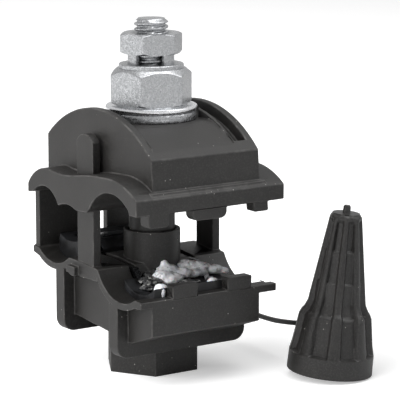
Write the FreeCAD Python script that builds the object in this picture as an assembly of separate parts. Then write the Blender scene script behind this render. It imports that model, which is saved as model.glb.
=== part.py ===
import FreeCAD, Part
import math
import os

# Insulation piercing connector for overhead cables, all sizes in millimetres.
# Z is the clamp bolt's axis, and Z = 0 is the foot of the hex boss.
# Cables run along X: the main cable on the -Y side, the tap cable on the +Y side.

# Running gaps and seats
SLIDE_GAP = 0.22        # between the two jaws where one slides along the other
SEAT_GAP = 0.05         # between an inner piece and the pocket that holds it
THREAD_GAP = 0.05       # between the bolt and the nut, on the radius
BOLT_GAP = 0.3          # between the bolt and a plain hole round it, on the radius
HEAD_GAP = 0.15         # between the bolt's head and the boss, across flats
TRAVEL = 12.0           # how far the upper jaw closes
CLOSED_GAP = 0.4        # left between the jaws' nearest faces when closed
MARGIN = 1.0            # how far a cut runs past a face, or a joined piece into its neighbour

# Clamp bolt
BOLT_D = 7.9
HEAD_AF = 13.0
HEAD_H = 5.6
HEAD_SINK = 0.7
HEAD_DOME = (0.2, 1.5)  # how far the head's lower face stays inside the flats, and the dome's height
HEAD_DOME_RUN = 1.5     # radius gained over the dome's height
TIP_Z = 82.5
TIP_BEVEL = 0.7

# Washers
WASHER_D = 21.0
PLAIN_T = 2.0
DISH_T = 1.4
DISH_DEPTH = 0.35
DISH_RIM = 1.3
DISH_SLANT = 0.2        # how much smaller the dish's floor is than its mouth, on the radius
RIM_ROUNDS = (0.35, 0.3)    # rounded outer edges of the plain and the dished washer
FOOT_CLEAR = 0.9        # between the nut's foot and the dish's floor edge, on the radius
SEAT_CLEAR = 0.5        # between the washers and the recess round them, on the radius
SEAT_Z = 59.1

# Shear nut
NUT_AF = 17.0
NUT_H = 7.35            # from the foot to where the corners start to slope
CONE_H = 1.5
CONE_TOP_R = 8.0
COLLAR_R = 7.55
COLLAR_H = 1.0
NECK_D = 11.0
NECK_H = 2.4
DRIVE_AF = 13.0
DRIVE_H = 4.75
NUT_TURN = -17.7
WINDOWS = 3
WINDOW_W = 5.2
WINDOW_TURN = -4.0      # turn of the first window from the bearing that the cap leans across
HEX_BEVEL = 0.8
FOOT_BEVEL = (0.9, 0.5) # bevel of the large hex's lower corners, on the radius and the height
RIM_CLEAR = 0.15        # between the large hex and the dished washer's rim

# Channels: the circles that the moulded arches and troughs follow
MAIN_Y = -13.8
MAIN_R = 10.7
MAIN_ARCH_Z = 34.6
MAIN_TROUGH_Z = 30.6
TAP_Y = 15.0
TAP_ARCH_R = 7.0
TAP_ARCH_Z = 35.9
TAP_TROUGH_R = 10.6
TAP_TROUGH_Z = 34.9

# Upper jaw
FLANGE_X = 20.45
NEAR_Y = -24.4
FAR_Y = 22.3
EDGE_LOW_Z = 41.5
EDGE_TOP_Z = 45.1
FOOT_LOW_Z = 40.5
FOOT_TOP_Z = 42.7
CREST_Z = 39.2
SKIN_MAIN_T = 3.3
SKIN_TAP_T = 4.4
MAIN_ARCH_ENDS = (-7.1, 9.1)    # Y from the channel's centre, near and inner
TAP_ARCH_ENDS = (-6.2, 4.9)     # Y from the channel's centre, inner and far
MAIN_CROWN_Y = 2.8              # Y of the flange's crown from the channel's centre
TAP_CROWN_Y = -1.8
VALLEY = (1.1, 0.1)             # Y, and height from the tap crown, between the crowns
TAP_SIDE = (6.4, -0.45)         # a point of the curve, Y and height from the tap crown
MAIN_SIDE = (-4.5, -0.4)        # a point of the curve, Y and height from the main crown
FAR_SHOULDER = (-3.1, 3.0)      # a point of the curve, from the far foot's top
NEAR_SHOULDER = (6.2, -0.6)     # Y from the near edge, height from the main crown
EDGE_STEP = 0.5
CREST_STEP = (1.2, 0.2)         # from the main arch's inner end, and up from the crest
CREST_BOW = (4.9, 0.8)          # Y of the curve up to the tap arch, and its rise
BLOCK_X = 14.8
BLOCK_NEAR_Y = -22.0
BLOCK_FOOT_Y = -22.8
BLOCK_R = 32.4
BLOCK_Y = 0.5
BLOCK_TOP_Z = 62.45
CHEEK_T = 1.9
GROOVE_W = 2.7
GROOVE_DEPTH = 2.6
GROOVE_END_Y = -19.6
RIB_W = 0.9
LABEL_MID_SAG = 0.4
LABEL_END_Y = -20.4
LEDGE_Z = 46.3
LEDGE_W = 0.9
SLEEVE_WALL = 1.15
SLEEVE_LOW_Z = 29.0
EDGE_T = 3.4
EDGE_ROUNDS = (0.9, 1.6, 0.5)    # corners of the lug, the lobe and the hook
EDGE_INSETS = (0.0, 0.3, 0.6)    # how far each stands behind the near edge
LUG_X = (-17.1, -11.5)
LUG_LOW_Z = 38.5
LOBE_X = (-4.9, 4.5)
LOBE_LOW_Z = 38.9
HOOK_X = (12.2, 16.3)
HOOK_LOW_Z = 39.2

# Lower jaw
TROUGH_X = 17.9
TROUGH_T = 1.6
LIP_Y = -22.4
LIP_TOP_Z = 21.4
FAR_LIP_Y = 24.4
FAR_LIP_Z = 27.0
DECK_Z = 26.6
DECK_Y = 2.4
NEAR_TROUGH_ENDS = (-5.8, 9.6)  # Y from the channel's centre, near and inner
FAR_TROUGH_ENDS = (-6.6, 6.8)   # Y from the channel's centre, inner and far
DECK_RUN = 1.6                  # Y from the tap trough's inner end to the deck
DECK_ROUND = (0.8, 0.6)         # from the main trough's inner end, and down from the deck
DECK_UNDER = 2.56               # depth of the deck's underside
UNDER_STEPS = (0.3, 0.6, 1.0)   # small Y steps between the top and the underside
BODY_X = 14.95
BODY_FLOOR_Z = 11.3
BODY_SLOPE = 0.095
APRON_LOW_Z = 13.1
REAR_APRON_Y = 17.0
REAR_APRON_Z = 17.2
REAR_APRON_RISE = 1.0
REAR_APRON_LEAN = 0.2
FLOOR_STEP = 1.2                # how far the sloping floor runs past the near leg
LEG_T = 3.6
NEAR_LEG_Y = -12.5
NEAR_LEG_Z = 6.3
FAR_LEG_Y = 14.2
FAR_LEG_Z = 8.3
LEG_ROUND = 3.0
POST_IN_X = 15.73
POST_T = 2.06
POST_Y = (-2.4, 4.5)
POST_SIDE_Z = 55.1
POST_TOP_Z = 56.8
WALL_T = 1.85
WALL_X = (1.9, 17.2)
WALL_TOP_Z = 44.0
SLEEVE_D = 13.3
SLEEVE_TOP_Z = 33.2
SLEEVE_FLOOR_Z = 16.5
LEDGE_Y = (-4.0, 9.8)
LEDGE_LOW_Z = 23.0
LEDGE_TOP_Z = 25.9
LIP_BLOCKS_X = ((-9.4, -2.6), (5.8, 12.5))
LIP_BLOCK_T = 3.4
LIP_BLOCK_Z = 24.3
LIP_BLOCK_SINK = 0.25
LIP_BLOCK_PROUD = 0.2
LIP_BLOCK_ROUND = 0.5
TAB_X = (12.5, 19.8)
TAB_T = 1.8
TAB_W = 2.2
SIDE_LUG_OUT = 1.2
SIDE_LUG_Y = (4.05, 7.55)
SIDE_LUG_Z = (23.15, 25.2)
SIDE_LUG_ROUND = (0.65, 0.55)   # how far the middle of its rounded corner stays inside
BOSS_AF = 20.4
BOSS_TOP_Z = 14.0

# Contact blades
BLADE_X = 8.45
BLADE_T = 1.5
MAIN_REACH = 5.2
TAP_REACH = 4.6
TOOTH_PITCH = 2.0
TOOTH_H = 1.4
MAIN_TIP_R = 8.3
TAP_TEETH_R = 14.0
TOOTH_PROUD = 0.6
BRIDGE_Y = (-6.0, 7.0)          # ends of the straight bridge between the channels
BLADE_FOOT_RISE = 3.0
LOWER_SLOT_Z = 17.5
LOWER_BRIDGE_Z = 25.6
UPPER_SLOT_Z = 50.0
UPPER_BRIDGE_Z = 46.2

# Seals
SEAL_X = 12.8
MAIN_SEAL_HALF = 6.3
TAP_SEAL_HALF = 5.9
MAIN_SEAL_FACE_R = 9.4
TAP_SEAL_Z = 29.0
TAP_SEAL_PEAK = 0.9
TAP_SEAL_SIDES = (1.6, 0.6)     # how far the near and far sides end below the face
TAP_SEAL_DIP = (-3.0, 0.4, 3.4)     # Y of the face's start, lowest point and end
TAP_SEAL_SAG = 0.2
TAP_SEAL_RIM = 0.4
TAP_ARCH_SAG = 0.8              # rise of the upper tap seal's face
UPPER_SEAL_PROUD = 0.4
LOWER_POCKET_Z = 18.4
TAP_POCKET_Z = 22.6
UPPER_POCKET_Z = 48.6

# Grease
GREASE_T = 1.5
GREASE_X = 6.0
MAIN_GREASE_HALF = 4.0
MAIN_GREASE_LIFT = 0.9  # foot of the mound above the seal's lowest face
MAIN_GREASE_RISE = 2.1
TAP_GREASE_HALF = 2.6
TAP_GREASE_Y = 0.4
TAP_GREASE_LIFT = 0.25
TAP_GREASE_RISE = 0.5
TAP_FILM_Z = 0.55
FILM_HALF = 3.0

# End cap and its strap
CAP_BASE_R = 10.0
CAP_COLLAR_H = 4.6
CAP_COLLAR_TAPER = 0.1
CAP_WAIST_R = 8.5
CAP_WAIST_Z = 13.2
CAP_NECK_R = 7.0
CAP_NECK_Z = 16.4
CAP_TOP_R = 3.9
CAP_TOP_BEVEL = (0.7, 0.6)  # on the radius and the height
CAP_H = 37.6
CAP_NIB_R = 0.9
CAP_NIB_TIP = 0.63
CAP_NIB_H = 1.8
CAP_WALL = 1.7
CAP_NECK_WALL = 2.3
CAP_TOP_WALL = 1.9
CAP_ROOF_T = 3.7
CAP_TILT = 5.5
CAP_PLACE = (28.7, -31.3)
CAP_FLUTES = 8
FLUTE_R = 1.5
FLUTE_ENDS = (1.2, 0.75)    # how much wider the flutes' foot is, and how much narrower their top
FLUTE_OUT = (0.25, 0.35)    # share of their radius that the lower and upper flutes stand outside the skin
FLUTE_START = 1.0
VIEW_TURN = 35.2        # the cap leans across this bearing, measured from Y towards X
STRAP_D = 1.2
STRAP_LUG = 2.6
STRAP_FOOT = 1.2
STRAP_Z = 10.4


def box(x_low, x_high, y_low, y_high, z_low, z_high):
    """Plain block between two corners."""
    corner = FreeCAD.Vector(x_low, y_low, z_low)
    return Part.makeBox(x_high - x_low, y_high - y_low, z_high - z_low, corner)


def disc(radius, z_low, z_high):
    """Upright cylinder about the bolt's axis."""
    return Part.makeCylinder(radius, z_high - z_low, FreeCAD.Vector(0, 0, z_low))


def hexagon(across_flats, z_low, z_high, turn=0.0):
    """Upright hexagonal prism, with a corner at the given angle from X."""
    corner_r = across_flats / math.sqrt(3.0)
    angles = [math.radians(turn + 60.0 * k) for k in range(6)]
    ring = [FreeCAD.Vector(corner_r * math.cos(a), corner_r * math.sin(a), z_low) for a in angles]
    face = Part.Face(Part.makePolygon(ring + [ring[0]]))
    return face.extrude(FreeCAD.Vector(0, 0, z_high - z_low))


def on_circle(centre_y, centre_z, radius, y, side):
    """Point of a channel's circle at one Y, above (side 1) or below (side -1) its centre."""
    rise = math.sqrt(max(radius ** 2 - (y - centre_y) ** 2, 0.0))
    return (y, centre_z + side * rise)


def section(start, *steps):
    """Closed YZ outline: a step of two numbers is a line, one of two points is an arc through both."""
    edges = []
    here = FreeCAD.Vector(0, *start)
    for step in steps + (start,):
        if isinstance(step[0], tuple):
            through = FreeCAD.Vector(0, *step[0])
            end = FreeCAD.Vector(0, *step[1])
            edges.append(Part.Arc(here, through, end).toShape())
        else:
            end = FreeCAD.Vector(0, *step)
            if end.distanceToPoint(here) > 1e-6:
                edges.append(Part.LineSegment(here, end).toShape())
        here = end
    return Part.Face(Part.Wire(edges))


def along_x(face, x_low, x_high):
    """Solid that a YZ outline sweeps along X."""
    placed = face.copy()
    placed.translate(FreeCAD.Vector(x_low, 0, 0))
    return placed.extrude(FreeCAD.Vector(x_high - x_low, 0, 0))


def mirrored_x(shape):
    """The same solid on the other side of the bolt."""
    return shape.mirror(FreeCAD.Vector(0, 0, 0), FreeCAD.Vector(1, 0, 0))


def joined(first, *others):
    """One solid from several, with no seams left between flush faces."""
    return first.fuse(list(others)).removeSplitter()


def rounded_box(x_low, x_high, y_low, y_high, z_low, z_high, radius, level=None):
    """Block with its Y edges rounded, all four or only those at one level."""
    plate = box(x_low, x_high, y_low, y_high, z_low, z_high)
    edges = []
    for edge in plate.Edges:
        ends = [vertex.Point for vertex in edge.Vertexes]
        runs_along_y = abs(ends[0].y - ends[1].y) > 1e-6
        if runs_along_y and (level is None or abs(ends[0].z - level) < 1e-6):
            edges.append(edge)
    return plate.makeFillet(radius, edges)


# Upper jaw

def block_outline():
    """The saddle block's YZ outline, with its arched top."""
    centre_z = BLOCK_TOP_Z - BLOCK_R
    top_near = on_circle(BLOCK_Y, centre_z, BLOCK_R, BLOCK_NEAR_Y, 1)
    top_far = on_circle(BLOCK_Y, centre_z, BLOCK_R, FAR_Y, 1)
    crown = (BLOCK_Y, BLOCK_TOP_Z)
    foot_z = EDGE_TOP_Z - CLOSED_GAP
    return section((FAR_Y, FOOT_TOP_Z), top_far, (crown, top_near), (BLOCK_FOOT_Y, foot_z))


def flange_outline():
    """The arched flange's YZ outline, over both channels."""
    main_near = on_circle(MAIN_Y, MAIN_ARCH_Z, MAIN_R, MAIN_Y + MAIN_ARCH_ENDS[0], 1)
    main_top = (MAIN_Y, MAIN_ARCH_Z + MAIN_R)
    main_inner = on_circle(MAIN_Y, MAIN_ARCH_Z, MAIN_R, MAIN_Y + MAIN_ARCH_ENDS[1], 1)
    tap_inner = on_circle(TAP_Y, TAP_ARCH_Z, TAP_ARCH_R, TAP_Y + TAP_ARCH_ENDS[0], 1)
    tap_top = (TAP_Y, TAP_ARCH_Z + TAP_ARCH_R)
    tap_outer = on_circle(TAP_Y, TAP_ARCH_Z, TAP_ARCH_R, TAP_Y + TAP_ARCH_ENDS[1], 1)
    tap_crown = (TAP_Y + TAP_CROWN_Y, tap_top[1] + SKIN_TAP_T)
    main_crown = (MAIN_Y + MAIN_CROWN_Y, main_top[1] + SKIN_MAIN_T)
    return section(
        (FAR_Y, FOOT_LOW_Z), (FAR_Y, FOOT_TOP_Z),
        ((FAR_Y + FAR_SHOULDER[0], FOOT_TOP_Z + FAR_SHOULDER[1]), tap_crown),
        ((TAP_SIDE[0], tap_crown[1] + TAP_SIDE[1]), (VALLEY[0], tap_crown[1] + VALLEY[1])),
        ((MAIN_SIDE[0], main_crown[1] + MAIN_SIDE[1]), main_crown),
        ((NEAR_Y + NEAR_SHOULDER[0], main_crown[1] + NEAR_SHOULDER[1]), (NEAR_Y, EDGE_TOP_Z)),
        (NEAR_Y, EDGE_LOW_Z), (main_near[0] - EDGE_STEP, EDGE_LOW_Z), main_near, (main_top, main_inner),
        (main_inner[0] + CREST_STEP[0], CREST_Z + CREST_STEP[1]), (VALLEY[0], CREST_Z),
        ((CREST_BOW[0], CREST_Z + CREST_BOW[1]), tap_inner), (tap_top, tap_outer))


def label_cut():
    """What is taken off the crown between the cheeks, down to the washer's seat."""
    centre_z = BLOCK_TOP_Z - BLOCK_R
    seat_r = WASHER_D / 2.0 + SEAT_CLEAR
    mid_y = (LABEL_END_Y - seat_r) / 2.0
    near_end = on_circle(BLOCK_Y, centre_z, BLOCK_R, LABEL_END_Y, 1)
    mid = (mid_y, (near_end[1] + SEAT_Z) / 2.0 + LABEL_MID_SAG)
    far_end = (2.0 * BLOCK_Y - LABEL_END_Y, near_end[1])
    far_mid = (2.0 * BLOCK_Y - mid_y, mid[1])
    sky_z = BLOCK_TOP_Z + MARGIN
    outline = section(
        (near_end[0], sky_z), near_end, (mid, (-seat_r, SEAT_Z)),
        (seat_r + 2.0 * BLOCK_Y, SEAT_Z), (far_mid, far_end), (far_end[0], sky_z))
    right_x = BLOCK_X - CHEEK_T - GROOVE_W - RIB_W
    return along_x(outline, CHEEK_T - BLOCK_X, right_x)


def groove_cut():
    """The deep curved groove beside the right-hand cheek."""
    centre_z = BLOCK_TOP_Z - BLOCK_R
    floor_r = BLOCK_R - GROOVE_DEPTH
    near_end = on_circle(BLOCK_Y, centre_z, floor_r, GROOVE_END_Y, 1)
    far_end = (2.0 * BLOCK_Y - near_end[0], near_end[1])
    sky_z = BLOCK_TOP_Z + MARGIN
    outline = section(
        (near_end[0], sky_z), near_end, ((BLOCK_Y, centre_z + floor_r), far_end), (far_end[0], sky_z))
    right_x = BLOCK_X - CHEEK_T
    return along_x(outline, right_x - GROOVE_W, right_x)


def rib_cut():
    """Lowers the rib between the label and the groove to half the groove's depth."""
    centre_z = BLOCK_TOP_Z - BLOCK_R
    floor_r = BLOCK_R - GROOVE_DEPTH / 4.0
    near_end = on_circle(BLOCK_Y, centre_z, floor_r, GROOVE_END_Y, 1)
    far_end = (2.0 * BLOCK_Y - near_end[0], near_end[1])
    sky_z = BLOCK_TOP_Z + MARGIN
    outline = section(
        (near_end[0], sky_z), near_end, ((BLOCK_Y, centre_z + floor_r), far_end), (far_end[0], sky_z))
    right_x = BLOCK_X - CHEEK_T - GROOVE_W
    return along_x(outline, right_x - RIB_W, right_x)


def seal_pocket(centre_y, half_width, z_low, z_high):
    """Room for one seal and its seat gap."""
    return box(-SEAL_X - SEAT_GAP, SEAL_X + SEAT_GAP,
               centre_y - half_width - SEAT_GAP, centre_y + half_width + SEAT_GAP, z_low, z_high)


def blade_slot(z_low, z_high):
    """Room for the blade on the +X side, from one channel to the other."""
    half = BLADE_T / 2.0 + SEAT_GAP
    return box(BLADE_X - half, BLADE_X + half, MAIN_Y - MAIN_REACH - SEAT_GAP,
               TAP_Y + TAP_REACH + SEAT_GAP, z_low, z_high)


def upper_jaw():
    """The moving moulding: saddle block, flange, edge blocks and sleeve."""
    sleeve_r = BOLT_D / 2.0 + BOLT_GAP + SLEEVE_WALL
    flange = along_x(flange_outline(), -FLANGE_X, FLANGE_X)
    block = along_x(block_outline(), -BLOCK_X, BLOCK_X)
    main_room = disc(MAIN_R, -BLOCK_X - MARGIN, BLOCK_X + MARGIN)
    main_room.rotate(FreeCAD.Vector(0, 0, 0), FreeCAD.Vector(0, 1, 0), 90)
    main_room.translate(FreeCAD.Vector(0, MAIN_Y, MAIN_ARCH_Z))
    tap_room = disc(TAP_ARCH_R, -BLOCK_X - MARGIN, BLOCK_X + MARGIN)
    tap_room.rotate(FreeCAD.Vector(0, 0, 0), FreeCAD.Vector(0, 1, 0), 90)
    tap_room.translate(FreeCAD.Vector(0, TAP_Y, TAP_ARCH_Z))
    block = block.cut([main_room, tap_room])
    ledge = box(-BLOCK_X - LEDGE_W, BLOCK_X + LEDGE_W, BLOCK_FOOT_Y - LEDGE_W, BLOCK_FOOT_Y + MARGIN,
                EDGE_TOP_Z - MARGIN, LEDGE_Z)
    blocks = []
    spans = ((LUG_X, LUG_LOW_Z), (LOBE_X, LOBE_LOW_Z), (HOOK_X, HOOK_LOW_Z))
    for (span, low_z), radius, inset in zip(spans, EDGE_ROUNDS, EDGE_INSETS):
        blocks.append(rounded_box(*span, NEAR_Y + inset, NEAR_Y + EDGE_T, low_z, EDGE_LOW_Z + MARGIN,
                                  radius, low_z))
    jaw = joined(flange, block, ledge, *blocks)
    collar_r = SLEEVE_D / 2.0 + SLIDE_GAP
    collar_top = SLEEVE_TOP_Z + TRAVEL + CLOSED_GAP
    below_z = LUG_LOW_Z - MARGIN
    cuts = [disc(WASHER_D / 2.0 + SEAT_CLEAR, SEAT_Z, BLOCK_TOP_Z + MARGIN),
            label_cut(), groove_cut(), rib_cut(),
            disc(collar_r, 0.0, collar_top),
            seal_pocket(MAIN_Y, MAIN_SEAL_HALF, below_z, UPPER_POCKET_Z),
            seal_pocket(TAP_Y, TAP_SEAL_HALF, below_z, UPPER_POCKET_Z)]
    slot = blade_slot(below_z, UPPER_SLOT_Z)
    cuts += [slot, mirrored_x(slot)]
    post_slot = box(POST_IN_X - SLIDE_GAP, POST_IN_X + POST_T + SLIDE_GAP,
                    POST_Y[0] - SLIDE_GAP, POST_Y[1] + SLIDE_GAP, below_z, BLOCK_TOP_Z)
    cuts += [post_slot, mirrored_x(post_slot)]
    jaw = jaw.cut(cuts)
    jaw = joined(jaw, disc(sleeve_r, SLEEVE_LOW_Z, SEAT_Z - MARGIN))
    return jaw.cut(disc(BOLT_D / 2.0 + BOLT_GAP, 0.0, BLOCK_TOP_Z))


# Lower jaw

def trough_top():
    """Points along the top of both troughs, from the far lip to the near lip."""
    far_in = on_circle(TAP_Y, TAP_TROUGH_Z, TAP_TROUGH_R, TAP_Y + FAR_TROUGH_ENDS[1], -1)
    far_low = (TAP_Y, TAP_TROUGH_Z - TAP_TROUGH_R)
    far_out = on_circle(TAP_Y, TAP_TROUGH_Z, TAP_TROUGH_R, TAP_Y + FAR_TROUGH_ENDS[0], -1)
    near_in = on_circle(MAIN_Y, MAIN_TROUGH_Z, MAIN_R, MAIN_Y + NEAR_TROUGH_ENDS[1], -1)
    near_low = (MAIN_Y, MAIN_TROUGH_Z - MAIN_R)
    near_out = on_circle(MAIN_Y, MAIN_TROUGH_Z, MAIN_R, MAIN_Y + NEAR_TROUGH_ENDS[0], -1)
    return far_in, far_low, far_out, near_in, near_low, near_out


def trough_outline():
    """Thin YZ outline of the two troughs, joined over the middle."""
    far_in, far_low, far_out, near_in, near_low, near_out = trough_top()
    t = TROUGH_T
    short, middle, wide = UNDER_STEPS
    deck_low = DECK_Z - DECK_UNDER
    outer_r = MAIN_R + t
    near_under = on_circle(MAIN_Y, MAIN_TROUGH_Z, outer_r, near_out[0] + short, -1)
    inner_under = on_circle(MAIN_Y, MAIN_TROUGH_Z, outer_r, near_in[0] - middle, -1)
    tap_under_r = TAP_TROUGH_R + t
    deck_under = on_circle(TAP_Y, TAP_TROUGH_Z, tap_under_r, far_out[0] - middle, -1)
    far_under = on_circle(TAP_Y, TAP_TROUGH_Z, tap_under_r, far_in[0], -1)
    return section(
        (FAR_LIP_Y, FAR_LIP_Z), far_in, (far_low, far_out),
        (far_out[0] - DECK_RUN, DECK_Z), (DECK_Y, DECK_Z),
        (near_in[0] + DECK_ROUND[0], DECK_Z - DECK_ROUND[1]), near_in,
        (near_low, near_out), (LIP_Y, LIP_TOP_Z),
        (LIP_Y, LIP_TOP_Z - t), near_under, ((near_low[0], near_low[1] - t), inner_under),
        (near_in[0] + middle, deck_low), (DECK_Y, deck_low), (deck_under[0] - wide, deck_low), deck_under,
        ((far_low[0], far_low[1] - t), far_under), (FAR_LIP_Y, FAR_LIP_Z - t))


def body_outline():
    """YZ outline of the solid middle between the legs, with the near apron and the rear one."""
    far_in, far_low, far_out, near_in, near_low, near_out = trough_top()
    half_t = TROUGH_T / 2.0
    slope_z = BODY_FLOOR_Z + BODY_SLOPE * FAR_LEG_Y
    near_y = NEAR_LEG_Y - FLOOR_STEP
    near_z = BODY_FLOOR_Z + BODY_SLOPE * near_y
    near_round = ((near_low[0], near_low[1] - half_t), (near_out[0], near_out[1] - half_t))
    return section(
        (LIP_Y, APRON_LOW_Z), (near_y, near_z), (FAR_LEG_Y, slope_z),
        (FAR_LEG_Y, REAR_APRON_Z - REAR_APRON_RISE), (REAR_APRON_Y, REAR_APRON_Z),
        (REAR_APRON_Y + REAR_APRON_LEAN, far_low[1] - half_t), (far_low[0], far_low[1] - half_t),
        (far_out[0] - DECK_RUN, DECK_Z - half_t), (DECK_Y, DECK_Z - half_t),
        (near_in[0] - UNDER_STEPS[0], near_in[1] - half_t), near_round, (LIP_Y, LIP_TOP_Z - half_t))


def lower_jaw():
    """The fixed moulding: troughs, posts, closing wall, sleeve, legs, apron and boss."""
    troughs = along_x(trough_outline(), -TROUGH_X, TROUGH_X)
    body = along_x(body_outline(), -BODY_X, BODY_X)
    leg_top = MAIN_TROUGH_Z - MAIN_R - TROUGH_T / 2.0
    near_leg = rounded_box(-TROUGH_X, TROUGH_X, NEAR_LEG_Y, NEAR_LEG_Y + LEG_T, NEAR_LEG_Z, leg_top,
                           LEG_ROUND, NEAR_LEG_Z)
    far_leg_top = TAP_TROUGH_Z - TAP_TROUGH_R - TROUGH_T / 2.0
    far_leg = rounded_box(-TROUGH_X, TROUGH_X, FAR_LEG_Y - LEG_T, FAR_LEG_Y, FAR_LEG_Z, far_leg_top,
                          LEG_ROUND, FAR_LEG_Z)
    boss = hexagon(BOSS_AF, 0.0, BOSS_TOP_Z)
    sleeve = disc(SLEEVE_D / 2.0, SLEEVE_FLOOR_Z, SLEEVE_TOP_Z)
    post = section((POST_Y[0], LEDGE_LOW_Z + MARGIN), (POST_Y[0], POST_SIDE_Z),
                   (((POST_Y[0] + POST_Y[1]) / 2.0, POST_TOP_Z), (POST_Y[1], POST_SIDE_Z)),
                   (POST_Y[1], LEDGE_LOW_Z + MARGIN))
    post = along_x(post, POST_IN_X, POST_IN_X + POST_T)
    ledge = box(POST_IN_X, TROUGH_X, LEDGE_Y[0], LEDGE_Y[1], LEDGE_LOW_Z, LEDGE_TOP_Z)
    wall_y = FAR_Y + SLIDE_GAP
    wall = box(WALL_X[0], WALL_X[1], wall_y, wall_y + WALL_T, FAR_LIP_Z - MARGIN, WALL_TOP_Z)
    block_y = LIP_Y - LIP_BLOCK_PROUD
    blocks = [rounded_box(*span, block_y, block_y + LIP_BLOCK_T, LIP_TOP_Z - LIP_BLOCK_SINK, LIP_BLOCK_Z,
                          LIP_BLOCK_ROUND, LIP_BLOCK_Z)
              for span in LIP_BLOCKS_X]
    tab = box(*TAB_X, LIP_Y, LIP_Y + TAB_W, LIP_TOP_Z - TAB_T, LIP_TOP_Z)
    low_y, high_y = SIDE_LUG_Y
    low_z, high_z = SIDE_LUG_Z
    corner = ((high_y - SIDE_LUG_ROUND[0], low_z + SIDE_LUG_ROUND[1]), (low_y, low_z))
    side_lug = section((low_y, high_z), (high_y, high_z), (high_y, high_z - SIDE_LUG_ROUND[0]), corner)
    side_lug = along_x(side_lug, -TROUGH_X - SIDE_LUG_OUT, MARGIN - TROUGH_X)
    half = STRAP_LUG / 2.0
    lug_y, lug_z = strap_points()[0][1:]
    strap_lug = box(TROUGH_X - MARGIN, TROUGH_X + STRAP_FOOT, lug_y - half, lug_y + half,
                    lug_z - half, lug_z + half)
    jaw = joined(troughs, body, near_leg, far_leg, boss, sleeve, post, mirrored_x(post),
                 ledge, mirrored_x(ledge), wall, mirrored_x(wall), strap_lug, side_lug, tab,
                 *blocks)
    sleeve_bore = BOLT_D / 2.0 + BOLT_GAP + SLEEVE_WALL + SLIDE_GAP
    slot = blade_slot(LOWER_SLOT_Z, DECK_Z + MARGIN)
    cuts = [disc(sleeve_bore, SLEEVE_FLOOR_Z, SLEEVE_TOP_Z + MARGIN),
            disc(BOLT_D / 2.0 + BOLT_GAP, 0.0, SLEEVE_TOP_Z),
            hexagon(HEAD_AF + 2.0 * HEAD_GAP, -MARGIN, HEAD_SINK + HEAD_H),
            seal_pocket(MAIN_Y, MAIN_SEAL_HALF, LOWER_POCKET_Z, DECK_Z + MARGIN),
            seal_pocket(TAP_Y, TAP_SEAL_HALF, TAP_POCKET_Z, TAP_SEAL_Z + MARGIN), slot, mirrored_x(slot)]
    return jaw.cut(cuts)


# Bolt, washers and nut

def clamp_bolt():
    """Hex-head bolt that stands in the boss, head down."""
    head = hexagon(HEAD_AF, HEAD_SINK, HEAD_SINK + HEAD_H)
    inset, dome_h = HEAD_DOME
    dome_r = HEAD_AF / 2.0 - inset
    dome = Part.makeCone(dome_r, dome_r + HEAD_DOME_RUN, dome_h, FreeCAD.Vector(0, 0, HEAD_SINK))
    head = head.common(joined(dome, disc(HEAD_AF, HEAD_SINK + dome_h, HEAD_SINK + HEAD_H)))
    shank = disc(BOLT_D / 2.0, HEAD_SINK + HEAD_H - MARGIN, TIP_Z - TIP_BEVEL)
    shank_r = BOLT_D / 2.0
    tip = Part.makeCone(shank_r, shank_r - TIP_BEVEL, TIP_BEVEL, FreeCAD.Vector(0, 0, TIP_Z - TIP_BEVEL))
    return joined(head, shank, tip)


def plain_washer():
    """Thick flat washer on the jaw's seat."""
    ring = disc(WASHER_D / 2.0, SEAT_Z, SEAT_Z + PLAIN_T)
    ring = ring.makeFillet(RIM_ROUNDS[0], [edge for edge in ring.Edges if edge.Length > WASHER_D])
    return ring.cut(disc(BOLT_D / 2.0 + BOLT_GAP, SEAT_Z - MARGIN, SEAT_Z + PLAIN_T + MARGIN))


def dished_washer():
    """Thin washer with a raised rim, under the nut."""
    low_z = SEAT_Z + PLAIN_T
    ring = disc(WASHER_D / 2.0, low_z, low_z + DISH_T)
    ring = ring.makeFillet(RIM_ROUNDS[1], [edge for edge in ring.Edges if edge.Length > WASHER_D])
    floor_r = dish_floor_r()
    floor = FreeCAD.Vector(0, 0, low_z + DISH_T - DISH_DEPTH)
    dish = Part.makeCone(floor_r, floor_r + DISH_SLANT, DISH_DEPTH, floor)
    return ring.cut([dish, disc(BOLT_D / 2.0 + BOLT_GAP, low_z - MARGIN, low_z + DISH_T + MARGIN)])


def dish_floor_r():
    """Radius of the dished washer's sunken floor."""
    return WASHER_D / 2.0 - DISH_RIM - DISH_SLANT


def nut_foot_z():
    """Height of the nut's lower face, on the floor of the dished washer."""
    return SEAT_Z + PLAIN_T + DISH_T - DISH_DEPTH


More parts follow.
